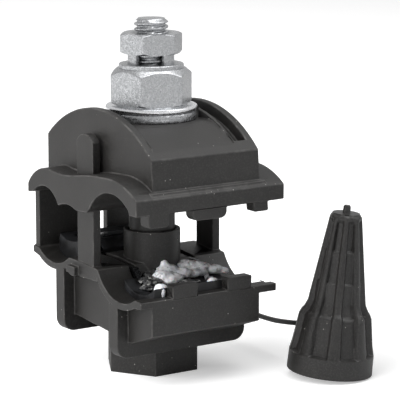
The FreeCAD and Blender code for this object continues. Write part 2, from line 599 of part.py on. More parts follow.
def shear_nut():
    """Large hex, cone, collar, windowed neck and small drive hex, turned from one bar."""
    foot_z = nut_foot_z()
    hex_z = foot_z + DISH_DEPTH + RIM_CLEAR
    cone_z = foot_z + NUT_H
    collar_z = cone_z + CONE_H
    neck_z = collar_z + COLLAR_H
    drive_z = neck_z + NECK_H
    drive_top_z = drive_z + DRIVE_H
    corner_r = NUT_AF / math.sqrt(3.0)
    bevel, bevel_h = FOOT_BEVEL
    shell = joined(Part.makeCone(corner_r - bevel, corner_r, bevel_h, FreeCAD.Vector(0, 0, hex_z)),
                   disc(corner_r, hex_z + bevel_h, cone_z),
                   Part.makeCone(corner_r, CONE_TOP_R, CONE_H, FreeCAD.Vector(0, 0, cone_z)))
    body = hexagon(NUT_AF, hex_z, collar_z, NUT_TURN).common(shell)
    foot_r = min(NUT_AF / 2.0, dish_floor_r() - FOOT_CLEAR)
    foot = disc(foot_r, foot_z, hex_z + bevel_h)
    neck = disc(NECK_D / 2.0, collar_z - MARGIN, drive_z + MARGIN)
    drive_r = DRIVE_AF / math.sqrt(3.0)
    low_cone = Part.makeCone(drive_r - HEX_BEVEL, drive_r, HEX_BEVEL / 2.0, FreeCAD.Vector(0, 0, drive_z))
    top_cone = Part.makeCone(drive_r, drive_r - HEX_BEVEL, HEX_BEVEL / 2.0,
                             FreeCAD.Vector(0, 0, drive_top_z - HEX_BEVEL / 2.0))
    waist = disc(drive_r, drive_z + HEX_BEVEL / 2.0, drive_top_z - HEX_BEVEL / 2.0)
    drive = hexagon(DRIVE_AF, drive_z, drive_top_z, NUT_TURN).common(joined(low_cone, waist, top_cone))
    nut = joined(foot, body, disc(COLLAR_R, collar_z, neck_z), neck, drive)
    windows = []
    for k in range(WINDOWS):
        window = box(0.0, NECK_D, -WINDOW_W / 2.0, WINDOW_W / 2.0, neck_z, drive_z)
        turn = 360.0 * k / WINDOWS - 90.0 - VIEW_TURN + WINDOW_TURN
        window.rotate(FreeCAD.Vector(0, 0, 0), FreeCAD.Vector(0, 0, 1), turn)
        windows.append(window)
    bore = disc(BOLT_D / 2.0 + THREAD_GAP, foot_z - MARGIN, drive_top_z + MARGIN)
    return nut.cut(windows + [bore])


# Contact blades

def toothed_edge(centre_y, centre_z, tip_r, side, reach):
    """Zigzag of teeth along a channel's circle, from low Y to high Y."""
    count = int(2.0 * reach / TOOTH_PITCH)
    start = centre_y - count * TOOTH_PITCH / 2.0
    points = []
    for k in range(count):
        y = start + k * TOOTH_PITCH
        points.append(on_circle(centre_y, centre_z, tip_r + TOOTH_H, y, side))
        points.append(on_circle(centre_y, centre_z, tip_r, y + TOOTH_PITCH / 2.0, side))
    points.append(on_circle(centre_y, centre_z, tip_r + TOOTH_H, start + count * TOOTH_PITCH, side))
    return points


def lower_blade():
    """Toothed plate that crosses below both cables, on the +X side."""
    main = toothed_edge(MAIN_Y, MAIN_TROUGH_Z, MAIN_TIP_R, -1, MAIN_REACH)
    tap_z = TAP_SEAL_Z + TOOTH_PROUD + TAP_TEETH_R
    tap = toothed_edge(TAP_Y, tap_z, TAP_TEETH_R, -1, TAP_REACH)
    foot_z = LOWER_SLOT_Z + SEAT_GAP
    outline = section(
        (MAIN_Y - MAIN_REACH, foot_z), *main, (BRIDGE_Y[0], LOWER_BRIDGE_Z), (BRIDGE_Y[1], LOWER_BRIDGE_Z),
        *tap, (TAP_Y + TAP_REACH, foot_z + BLADE_FOOT_RISE), (TAP_Y, foot_z))
    return along_x(outline, BLADE_X - BLADE_T / 2.0, BLADE_X + BLADE_T / 2.0)


def upper_blade():
    """The facing plate in the upper jaw, on the +X side."""
    main = toothed_edge(MAIN_Y, MAIN_ARCH_Z, MAIN_TIP_R, 1, MAIN_REACH)
    sag = TAP_TEETH_R - math.sqrt(TAP_TEETH_R ** 2 - TAP_REACH ** 2)
    tap_z = TAP_SEAL_Z + TOOTH_PROUD + 2.0 * sag + TRAVEL + CLOSED_GAP - TAP_TEETH_R
    tap = toothed_edge(TAP_Y, tap_z, TAP_TEETH_R, 1, TAP_REACH)
    top_z = UPPER_SLOT_Z - SEAT_GAP
    outline = section(
        (MAIN_Y - MAIN_REACH, top_z), *main, (BRIDGE_Y[0], UPPER_BRIDGE_Z), (BRIDGE_Y[1], UPPER_BRIDGE_Z),
        *tap, (TAP_Y + TAP_REACH, top_z))
    return along_x(outline, BLADE_X - BLADE_T / 2.0, BLADE_X + BLADE_T / 2.0)


# Seals

def without_blades(seal, z_low, z_high):
    """The seal with a slit round each blade."""
    slit = blade_slot(z_low, z_high)
    return seal.cut([slit, mirrored_x(slit)])


def main_seal_lower():
    """Soft saddle under the main cable."""
    low_z = LOWER_POCKET_Z + SEAT_GAP
    y_low = MAIN_Y - MAIN_SEAL_HALF
    y_high = MAIN_Y + MAIN_SEAL_HALF
    outline = section(
        (y_low, low_z), on_circle(MAIN_Y, MAIN_TROUGH_Z, MAIN_SEAL_FACE_R, y_low, -1),
        ((MAIN_Y, MAIN_TROUGH_Z - MAIN_SEAL_FACE_R),
         on_circle(MAIN_Y, MAIN_TROUGH_Z, MAIN_SEAL_FACE_R, y_high, -1)),
        (y_high, low_z))
    return without_blades(along_x(outline, -SEAL_X, SEAL_X), LOWER_SLOT_Z, DECK_Z + MARGIN)


def tap_seal_lower():
    """Soft saddle under the tap cable, with a raised edge on each side."""
    low_z = TAP_POCKET_Z + SEAT_GAP
    y_low = TAP_Y - TAP_SEAL_HALF
    y_high = TAP_Y + TAP_SEAL_HALF
    outline = section(
        (y_low, low_z), (y_low, TAP_SEAL_Z - TAP_SEAL_SIDES[0]),
        (TAP_Y + TAP_SEAL_DIP[0], TAP_SEAL_Z + TAP_SEAL_PEAK / 2.0),
        ((TAP_Y + TAP_SEAL_DIP[1], TAP_SEAL_Z - TAP_SEAL_SAG), (TAP_Y + TAP_SEAL_DIP[2], TAP_SEAL_Z)),
        (y_high - TAP_SEAL_RIM, TAP_SEAL_Z + TAP_SEAL_PEAK), (y_high, TAP_SEAL_Z - TAP_SEAL_SIDES[1]),
        (y_high, low_z))
    peak_z = TAP_SEAL_Z + TAP_SEAL_PEAK
    return without_blades(along_x(outline, -SEAL_X, SEAL_X), LOWER_SLOT_Z, peak_z + MARGIN)


def main_seal_upper():
    """Soft saddle over the main cable."""
    top_z = UPPER_POCKET_Z - SEAT_GAP
    face_r = MAIN_R - UPPER_SEAL_PROUD
    y_low = MAIN_Y - MAIN_SEAL_HALF
    y_high = MAIN_Y + MAIN_SEAL_HALF
    outline = section(
        (y_low, top_z), on_circle(MAIN_Y, MAIN_ARCH_Z, face_r, y_low, 1),
        ((MAIN_Y, MAIN_ARCH_Z + face_r), on_circle(MAIN_Y, MAIN_ARCH_Z, face_r, y_high, 1)),
        (y_high, top_z))
    return without_blades(along_x(outline, -SEAL_X, SEAL_X), CREST_Z - MARGIN, UPPER_SLOT_Z)


def tap_seal_upper():
    """Soft saddle over the tap cable, high enough to clear the lower one when closed."""
    top_z = UPPER_POCKET_Z - SEAT_GAP
    face_z = TAP_SEAL_Z + TAP_SEAL_PEAK + TRAVEL + CLOSED_GAP
    y_low = TAP_Y - TAP_SEAL_HALF
    y_high = TAP_Y + TAP_SEAL_HALF
    outline = section(
        (y_low, top_z), (y_low, face_z),
        ((TAP_Y, face_z + TAP_ARCH_SAG), (y_high, face_z)), (y_high, top_z))
    return without_blades(along_x(outline, -SEAL_X, SEAL_X), CREST_Z - MARGIN, UPPER_SLOT_Z)


# Grease

def grease_mound(centre_y, half_y, low_z, rise):
    """Soft mound of grease with a level foot."""
    outline = section((centre_y - half_y, low_z), ((centre_y, low_z + rise), (centre_y + half_y, low_z)))
    return along_x(outline, -GREASE_X, GREASE_X)


def main_grease_lower():
    """Mound on the lower main seal, between the blades."""
    low_z = MAIN_TROUGH_Z - MAIN_SEAL_FACE_R + MAIN_GREASE_LIFT
    return grease_mound(MAIN_Y, MAIN_GREASE_HALF, low_z, MAIN_GREASE_RISE)


def tap_grease_lower():
    """Film on the lower tap seal, between the blades."""
    return grease_mound(TAP_Y + TAP_GREASE_Y, TAP_GREASE_HALF, TAP_SEAL_Z + TAP_GREASE_LIFT, TAP_GREASE_RISE)


def upper_film(centre_y, face_z, thick):
    """Thin film of grease that clings under an upper seal."""
    outline = section((centre_y - FILM_HALF, face_z), (centre_y + FILM_HALF, face_z),
                      ((centre_y, face_z - thick), (centre_y - FILM_HALF, face_z)))
    return along_x(outline, -GREASE_X, GREASE_X)


def main_grease_upper():
    """Film under the upper main seal."""
    face_r = MAIN_R - UPPER_SEAL_PROUD
    edge_z = on_circle(MAIN_Y, MAIN_ARCH_Z, face_r, MAIN_Y + FILM_HALF, 1)[1]
    return upper_film(MAIN_Y, edge_z - SEAT_GAP, GREASE_T / 2.0)


def tap_grease_upper():
    """Film under the upper tap seal."""
    face_z = TAP_SEAL_Z + TAP_SEAL_PEAK + TRAVEL + CLOSED_GAP
    return upper_film(TAP_Y, face_z + TAP_FILM_Z, GREASE_T / 3.0)


# End cap and strap

def cap_lean(shape):
    """Puts an upright piece at the cap's place, leaning so that its rim just touches the ground."""
    axis = FreeCAD.Vector(math.sin(math.radians(VIEW_TURN)), math.cos(math.radians(VIEW_TURN)), 0)
    placed = shape.copy()
    placed.rotate(FreeCAD.Vector(0, 0, 0), axis, CAP_TILT)
    lift = CAP_BASE_R * math.sin(math.radians(CAP_TILT)) + SEAT_GAP
    placed.translate(FreeCAD.Vector(CAP_PLACE[0], CAP_PLACE[1], lift))
    return placed


def turned(*points):
    """Solid of revolution about Z from radius and height pairs."""
    ring = [FreeCAD.Vector(radius, 0, z) for radius, z in points]
    face = Part.Face(Part.makePolygon(ring + [ring[0]]))
    return face.revolve(FreeCAD.Vector(0, 0, 0), FreeCAD.Vector(0, 0, 1), 360)


def flute_cutter(low_r, top_r, length, foot_r, foot_z, lean):
    """Tapered cutter that leans inwards along the cap's skin, by an angle in radians."""
    cutter = Part.makeCone(low_r, top_r, length)
    cutter.rotate(FreeCAD.Vector(0, 0, 0), FreeCAD.Vector(0, 1, 0), -math.degrees(lean))
    cutter.translate(FreeCAD.Vector(foot_r, 0, foot_z))
    return cutter


def tap_end_cap():
    """Hollow fluted cap for the cut end of the tap cable, with a nib on top."""
    tip_z = CAP_H + CAP_NIB_H
    bevel, bevel_h = CAP_TOP_BEVEL
    shell = turned(
        (0.0, 0.0), (CAP_BASE_R, 0.0), (CAP_BASE_R - CAP_COLLAR_TAPER, CAP_COLLAR_H),
        (CAP_WAIST_R, CAP_WAIST_Z),
        (CAP_NECK_R, CAP_NECK_Z), (CAP_TOP_R, CAP_H - bevel_h), (CAP_TOP_R - bevel, CAP_H),
        (CAP_NIB_R, CAP_H), (CAP_NIB_TIP, tip_z), (0.0, tip_z))
    upper_lean = math.atan2(CAP_NECK_R - CAP_TOP_R, CAP_H - CAP_NECK_Z)
    upper_length = CAP_H - CAP_NECK_Z + 2.0 * FLUTE_START
    upper_foot_r = CAP_NECK_R + FLUTE_R * FLUTE_OUT[1]
    lower_lean = math.atan2(CAP_BASE_R - CAP_NECK_R, CAP_NECK_Z - CAP_COLLAR_H)
    lower_length = CAP_NECK_Z - CAP_COLLAR_H - 2.0 * FLUTE_START
    lower_foot_r = CAP_BASE_R + FLUTE_R * FLUTE_OUT[0]
    flutes = []
    for k in range(CAP_FLUTES):
        upper = flute_cutter(FLUTE_R, FLUTE_R * FLUTE_ENDS[1], upper_length, upper_foot_r,
                             CAP_NECK_Z + FLUTE_START, upper_lean)
        lower = flute_cutter(FLUTE_R * FLUTE_ENDS[0], FLUTE_R, lower_length, lower_foot_r,
                             CAP_COLLAR_H + FLUTE_START, lower_lean)
        turn = 360.0 * (k + 0.5) / CAP_FLUTES - 90.0 - VIEW_TURN
        for cutter in (upper, lower):
            cutter.rotate(FreeCAD.Vector(0, 0, 0), FreeCAD.Vector(0, 0, 1), turn)
            flutes.append(cutter)
    roof_z = CAP_H - CAP_ROOF_T
    hollow = turned(
        (0.0, -MARGIN), (CAP_BASE_R - CAP_WALL, -MARGIN), (CAP_BASE_R - CAP_WALL, CAP_COLLAR_H),
        (CAP_NECK_R - CAP_NECK_WALL, CAP_NECK_Z), (CAP_TOP_R - CAP_TOP_WALL, roof_z), (0.0, roof_z))
    return cap_lean(shell.cut(flutes + [hollow]))


def strap_points():
    """Route of the strap, from the far leg's end round to the cap's side."""
    lug_y = FAR_LEG_Y - LEG_T / 2.0
    return [(TROUGH_X + STRAP_FOOT, lug_y, STRAP_Z), (23.0, lug_y, STRAP_Z), (26.6, 10.2, 9.9),
            (28.8, 6.1, 9.4), (29.0, -0.6, 8.6), (27.9, -10.0, 9.0),
            (27.2, -16.0, 9.8), (27.0, -21.0, 10.5), (28.1, -23.35, 10.8)]


def strap_route(points):
    """Straight runs joined by tangent arcs, and the arcs' radii."""
    vectors = [FreeCAD.Vector(*point) for point in points]
    edges = []
    radii = []
    here = vectors[0]
    for before, corner, after in zip(vectors, vectors[1:], vectors[2:]):
        back = (before - corner).normalize()
        ahead = (after - corner).normalize()
        turn = math.pi - back.getAngle(ahead)
        cut = 0.45 * min(before.distanceToPoint(corner), after.distanceToPoint(corner))
        radius = cut / math.tan(turn / 2.0)
        start = corner + back * cut
        end = corner + ahead * cut
        inward = (back + ahead).normalize()
        middle = corner + inward * (radius / math.cos(turn / 2.0) - radius)
        edges.append(Part.LineSegment(here, start).toShape())
        edges.append(Part.Arc(start, middle, end).toShape())
        radii.append(radius)
        here = end
    edges.append(Part.LineSegment(here, vectors[-1]).toShape())
    return Part.Wire(edges), radii


def cap_tether():
    """The moulded strap between the lower jaw and the cap."""
    wire, radii = strap_route(strap_points())
    first, second = [FreeCAD.Vector(*point) for point in strap_points()[:2]]
    profile = Part.Wire(Part.makeCircle(STRAP_D / 2.0, first, second - first))
    tube = wire.makePipeShell([profile], True, True)
    expected = math.pi * STRAP_D ** 2 / 4.0 * wire.Length
    print("strap arc radii", [round(radius, 1) for radius in radii])
    print("strap length", round(wire.Length, 2))
    print("strap volume", round(tube.Volume, 2), "expected", round(expected, 2))
    return tube


def export(name, shape):
    """Writes one piece to its own STEP file."""
    solid = shape.Solids[0] if len(shape.Solids) == 1 else shape
    print(name, "valid", solid.isValid(), "solids", len(shape.Solids), "volume", round(solid.Volume, 1))
    solid.exportStep(os.path.join("parts", name + ".step"))


def main():
    """Builds every piece and writes it out."""
    os.makedirs("parts", exist_ok=True)
    pieces = {
        "upper_jaw": upper_jaw(),
        "lower_jaw": lower_jaw(),
        "clamp_bolt": clamp_bolt(),
        "plain_washer": plain_washer(),
        "dished_washer": dished_washer(),
        "shear_nut": shear_nut(),
        "blade_lower_right": lower_blade(),
        "blade_lower_left": mirrored_x(lower_blade()),
        "blade_upper_right": upper_blade(),
        "blade_upper_left": mirrored_x(upper_blade()),
        "main_seal_lower": main_seal_lower(),
        "tap_seal_lower": tap_seal_lower(),
        "main_seal_upper": main_seal_upper(),
        "tap_seal_upper": tap_seal_upper(),
        "main_grease_lower": main_grease_lower(),
        "tap_grease_lower": tap_grease_lower(),
        "main_grease_upper": main_grease_upper(),
        "tap_grease_upper": tap_grease_upper(),
        "tap_end_cap": tap_end_cap(),
        "cap_tether": cap_tether(),
    }
    for name, shape in pieces.items():
        export(name, shape)


main()
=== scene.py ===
"""Looks of an insulation piercing connector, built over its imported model."""

import logging
from math import ceil, cos, degrees, exp, hypot, pi, radians, sin, sqrt
from dataclasses import dataclass
from enum import Enum
from typing import Callable, Dict, List, Optional, Sequence, Tuple

import bmesh
import bpy
from mathutils import Matrix, Vector, noise


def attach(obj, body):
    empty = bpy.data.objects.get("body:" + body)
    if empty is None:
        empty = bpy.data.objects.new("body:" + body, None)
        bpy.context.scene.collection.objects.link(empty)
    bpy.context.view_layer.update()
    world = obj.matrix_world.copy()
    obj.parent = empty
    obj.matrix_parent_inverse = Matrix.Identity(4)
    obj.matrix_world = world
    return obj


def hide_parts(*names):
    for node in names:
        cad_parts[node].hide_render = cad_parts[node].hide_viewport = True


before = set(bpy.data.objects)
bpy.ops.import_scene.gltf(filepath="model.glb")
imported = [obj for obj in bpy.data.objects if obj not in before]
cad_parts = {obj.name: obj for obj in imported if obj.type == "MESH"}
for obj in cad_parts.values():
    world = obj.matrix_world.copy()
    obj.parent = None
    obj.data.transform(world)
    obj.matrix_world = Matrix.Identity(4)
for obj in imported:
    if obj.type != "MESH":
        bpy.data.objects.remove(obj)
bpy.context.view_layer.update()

LOG = logging.getLogger("connector")
MM = 0.001
TAU = 2.0 * pi

Piece = bpy.types.Object
Material = bpy.types.Material
Tree = bpy.types.NodeTree
Node = bpy.types.Node
Socket = bpy.types.NodeSocket
Pair = Tuple[float, float]
Point = Tuple[float, float, float]
Colour = Tuple[float, float, float, float]
Shaper = Callable[[float, float, float], float]

# Range that holds most values of a noise texture
MOST_NOISE = (0.3, 0.7)
WHITE = (1.0, 1.0, 1.0, 1.0)


class Body(Enum):
    """Bodies of the connector that pieces ride on."""

    LOWER = "lower_part"
    UPPER = "upper_part"
    NUT = "nut"


class Slot(Enum):
    """Finishes that the record names."""

    JAW = "jaw_plastic"
    CAP = "cap_plastic"
    SEAL = "seal_rubber"
    GREASE = "contact_grease"
    BLADE = "blade_metal"
    BOLT = "bolt_zinc"
    NUT = "nut_zinc"
    WASHER = "washer_zinc"


# Meshes


def smoothstep(low: float, high: float, value: float) -> float:
    """Ease from 0 at low to 1 at high.

    Args:
        low: Value where the result is 0.
        high: Value where the result is 1.
        value: Value to ease.

    Returns:
        The eased share between 0 and 1.
    """
    share = min(max((value - low) / (high - low), 0.0), 1.0)
    return share * share * (3.0 - 2.0 * share)


def soft_least(first: float, second: float, blend: float) -> float:
    """Lesser of two values with a rounded corner where they cross.

    Args:
        first: One value.
        second: The other value.
        blend: Width of the rounding.

    Returns:
        The rounded minimum.
    """
    share = min(max(0.5 + 0.5 * (second - first) / blend, 0.0), 1.0)
    return second + (first - second) * share - blend * share * (1.0 - share)


def piece_from(name: str, points: Sequence[Point], faces: Sequence[Sequence[int]],
               crease: float = 32.0) -> Piece:
    """Make a smooth-shaded object from points in millimetres.

    Args:
        name: Name of the new object.
        points: Vertices in millimetres.
        faces: Vertex numbers of each face.
        crease: Angle in degrees above which an edge stays sharp.

    Returns:
        The new object, linked into the scene.
    """
    mesh = bpy.data.meshes.new(name)
    mesh.from_pydata([(x * MM, y * MM, z * MM) for x, y, z in points], [], faces)
    return shaded(linked(bpy.data.objects.new(name, mesh)), crease)


def linked(thing: Piece) -> Piece:
    """Put an object into the scene and give it back."""
    bpy.context.scene.collection.objects.link(thing)
    return thing


def object_from(work: bmesh.types.BMesh, name: str) -> Piece:
    """Turn a work mesh into an object in the scene.

    Args:
        work: Work mesh, which is freed.
        name: Name of the new object.

    Returns:
        The new object.
    """
    mesh = bpy.data.meshes.new(name)
    work.to_mesh(mesh)
    work.free()
    return linked(bpy.data.objects.new(name, mesh))


def shaded(piece: Piece, crease: float) -> Piece:
    """Shade a mesh smooth, with edges sharp above an angle.

    Args:
        piece: Mesh object.
        crease: Angle in degrees above which an edge stays sharp.

    Returns:
        The same object.
    """
    piece.data.shade_smooth()
    piece.data.set_sharp_from_angle(angle=radians(crease))
    return piece


def applied(piece: Piece) -> Piece:
    """Turn an object's modifiers into its mesh.

    Args:
        piece: Object with modifiers.

    Returns:
        The same object, with no modifier left.
    """
    view = bpy.context.evaluated_depsgraph_get()
    skin = bpy.data.meshes.new_from_object(piece.evaluated_get(view))
    piece.modifiers.clear()
    piece.data = skin
    return piece


def spun(name: str, outline: Sequence[Pair], columns: int, shaper: Optional[Shaper] = None,
         ring: bool = True, crease: float = 32.0) -> Piece:
    """Turn a section about the Z axis, with a rule that reshapes each radius.

    Args:
        name: Name of the new object.
        outline: Radius and height pairs, counter-clockwise round the section.
        columns: Number of steps round the axis.
        shaper: Gives the final radius from radius, angle and height.
        ring: Whether the section closes on itself; if not, flat caps close it.
        crease: Angle in degrees above which an edge stays sharp.

    Returns:
        The new object.
    """
    points: List[Point] = []
    for radius, height in outline:
        for column in range(columns):
            angle = TAU * column / columns
            reach = shaper(radius, angle, height) if shaper else radius
            points.append((reach * cos(angle), reach * sin(angle), height))
    rows = len(outline)
    faces: List[Sequence[int]] = []
    for row in range(rows if ring else rows - 1):
        above = (row + 1) % rows
        for column in range(columns):
            beside = (column + 1) % columns
            faces.append((row * columns + column, row * columns + beside,
                          above * columns + beside, above * columns + column))
    if not ring:
        faces.append(list(range(columns))[::-1])
        faces.append(list(range((rows - 1) * columns, rows * columns)))
    return piece_from(name, points, faces, crease)


def dense(outline: Sequence[Pair], step: float) -> List[Pair]:
    """Divide the runs of a section so that no run is longer than a step.

    Args:
        outline: Radius and height pairs.
        step: Longest run in millimetres.

    Returns:
        The section with more points on its long runs.
    """
    result = [outline[0]]
    for (r0, z0), (r1, z1) in zip(outline, outline[1:]):
        parts = max(1, ceil(hypot(r1 - r0, z1 - z0) / step))
        result += [(r0 + (r1 - r0) * k / parts, z0 + (z1 - z0) * k / parts) for k in range(1, parts + 1)]
    return result


def hex_reach(across_flats: float, turn: float, angle: float) -> float:
    """Distance from the axis to the side of a hexagon.

    Args:
        across_flats: Size across flats.
        turn: Angle of one corner in degrees.
        angle: Bearing in radians.

    Returns:
        The distance along that bearing.
    """
    share = (degrees(angle) - turn) % 60.0
    return across_flats / 2.0 / cos(radians(share - 30.0))


def settle(piece: Piece, body: Body, material: Material,
           nodes: Sequence[str] = ()) -> Piece:
    """Give a piece its finish and body, and hide the solids that it stands for.

    Args:
        piece: Object to place.
        body: Body that it rides on.
        material: Finish in the scene.
        nodes: Solids that it replaces.

    Returns:
        The same object.
    """
    piece.data.materials.clear()
    piece.data.materials.append(material)
    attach(piece, body.value)
    if nodes:
        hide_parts(*nodes)
    LOG.info("%s rides on %s", piece.name, body.value)
    return piece


@dataclass(frozen=True)
class EdgeBreak:
    """How a moulded or cut piece's edges are rounded, in millimetres and degrees."""

    width: float = 0.22
    steps: int = 2
    least_turn: float = 27.0
    shortest: float = 0.12
    weld: float = 0.002
    flat_turn: float = 0.7
    crease: float = 38.0

    def softened(self, node: str, name: str) -> Piece:
        """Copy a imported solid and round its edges.

        Args:
            node: Name of the solid.
            name: Name of the new object.

        Returns:
            The new object, with an "edge" value on its rounded faces.
        """
        work = bmesh.new()
        work.from_mesh(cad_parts[node].data)
        bmesh.ops.remove_doubles(work, verts=work.verts, dist=self.weld * MM)
        bmesh.ops.dissolve_limit(work, angle_limit=radians(self.flat_turn), verts=work.verts,
                                 edges=work.edges)
        layer = work.faces.layers.float.new("edge")
        picked = [edge for edge in work.edges if self._wants(edge)]
        made = bmesh.ops.bevel(work, geom=picked, offset=self.width * MM, offset_type="OFFSET",
                               segments=self.steps, profile=0.5, affect="EDGES", clamp_overlap=False)
        for face in made["faces"]:
            face[layer] = 1.0
        piece = shaded(object_from(work, name), self.crease)
        even = piece.modifiers.new("even", "WEIGHTED_NORMAL")
        even.keep_sharp = True
        return applied(piece)

    def _wants(self, edge: bmesh.types.BMEdge) -> bool:
        """Tell whether an edge is sharp and long enough to round.

        Args:
            edge: Edge of the work mesh.

        Returns:
            Whether the edge gets a bevel.
        """
        if len(edge.link_faces) != 2 or edge.calc_length() < self.shortest * MM:
            return False
        return edge.calc_face_angle(0.0) > radians(self.least_turn)


# Shader building


class Wiring:
    """Places and links nodes in one node tree."""

    def __init__(self, tree: Tree) -> None:
        """Keep the tree that nodes go into."""
        self.tree = tree

    def node(self, kind: str, **settings: object) -> Node:
        """Add a node.

        Args:
            kind: Node type without its ShaderNode prefix.
            **settings: Properties to set on it.

        Returns:
            The new node.
        """
        made = self.tree.nodes.new("ShaderNode" + kind)
        for key, value in settings.items():
            setattr(made, key, value)
        return made

    def feed(self, value: object, target: Socket) -> None:
        """Link a socket, or set a plain value.

        Args:
            value: Socket to link, or value to set.
            target: Input socket.
        """
        if isinstance(value, Socket):
            self.tree.links.new(value, target)
        else:
            target.default_value = value

    def fill(self, target: Node, **values: object) -> None:
        """Feed several inputs of a node, named with underscores for spaces."""
        for key, value in values.items():
            self.feed(value, target.inputs[key.replace("_", " ")])

    def maths(self, operation: str, first: object, second: object = 0.0, clamp: bool = False) -> Socket:
        """Add a Math node.

        Args:
            operation: Name of the operation.
            first: First value or socket.
            second: Second value or socket.
            clamp: Whether the result stays between 0 and 1.

        Returns:
            The result socket.
        """
        made = self.node("Math", operation=operation, use_clamp=clamp)
        self.feed(first, made.inputs[0])
        self.feed(second, made.inputs[1])
        return made.outputs[0]

    def weighed(self, first: Socket, second: Socket, share: float) -> Socket:
        """Add two values by their weights.

        Args:
            first: First socket.
            second: Second socket.
            share: Weight of the second, where both together weigh 1.

        Returns:
            The result socket.
        """
        kept = self.maths("MULTIPLY", first, 1.0 - share)
        return self.maths("ADD", kept, self.maths("MULTIPLY", second, share))

    def span(self, value: object, low: float, high: float, to_low: float = 0.0,
             to_high: float = 1.0) -> Socket:
        """Map one range of values smoothly to another.

        Args:
            value: Value or socket.
            low: Start of the range that comes in.
            high: End of the range that comes in.
            to_low: Start of the range that goes out.
            to_high: End of the range that goes out.

        Returns:
            The result socket.
        """
        made = self.node("MapRange", interpolation_type="SMOOTHSTEP")
        for place, number in enumerate((low, high, to_low, to_high), start=1):
            self.feed(number, made.inputs[place])
        self.feed(value, made.inputs[0])
        return made.outputs[0]

    def blend(self, share: object, first: object, second: object) -> Socket:
        """Mix two colours.

        Args:
            share: Share of the second colour.
            first: First colour or socket.
            second: Second colour or socket.

        Returns:
            The mixed colour socket.
        """
        made = self.node("Mix", data_type="RGBA")
        self.feed(share, made.inputs[0])
        self.feed(first, made.inputs[6])
        self.feed(second, made.inputs[7])
        return made.outputs[2]

    def cloud(self, where: object, scale: object, detail: float = 3.0, rough: float = 0.55) -> Socket:
        """Add a Noise node and give its value.

        Args:
            where: Coordinate socket.
            scale: Scale value or socket.
            detail: Number of finer layers.
            rough: Strength of the finer layers.

        Returns:
            The noise value socket.
        """
        made = self.node("TexNoise")
        self.fill(made, Vector=where, Scale=scale, Detail=detail, Roughness=rough)
        return made.outputs["Fac"]

    def cells(self, where: object, scale: object) -> Sequence[Socket]:
        """Add a Voronoi node and give its values.

        Args:
            where: Coordinate socket.
            scale: Scale value or socket.

        Returns:
            The distance to the cell's middle, and two values that differ from cell to cell.
        """
        made = self.node("TexVoronoi")
        self.fill(made, Vector=where, Scale=scale)
        split = self.node("SeparateColor")
        self.feed(made.outputs["Color"], split.inputs[0])
        return made.outputs["Distance"], split.outputs[0], split.outputs[1]

    def bump(self, height: Socket, strength: float, rise: float, shader: Node) -> None:
        """Raise a surface by a height socket.

        Args:
            height: Height from 0 to 1.
            strength: Strength of the bump.
            rise: Full height in millimetres.
            shader: Shader that takes the bent normal.
        """
        made = self.node("Bump")
        self.fill(made, Strength=strength, Distance=rise * MM, Height=height)
        self.fill(shader, Normal=made.outputs["Normal"])

    def group(self, tree: Tree, **values: object) -> Node:
        """Place a shared node group.

        Args:
            tree: The group.
            **values: Values of its inputs, with underscores for spaces.

        Returns:
            The group node.
        """
        made = self.node("Group")
        made.node_tree = tree
        self.fill(made, **values)
        return made


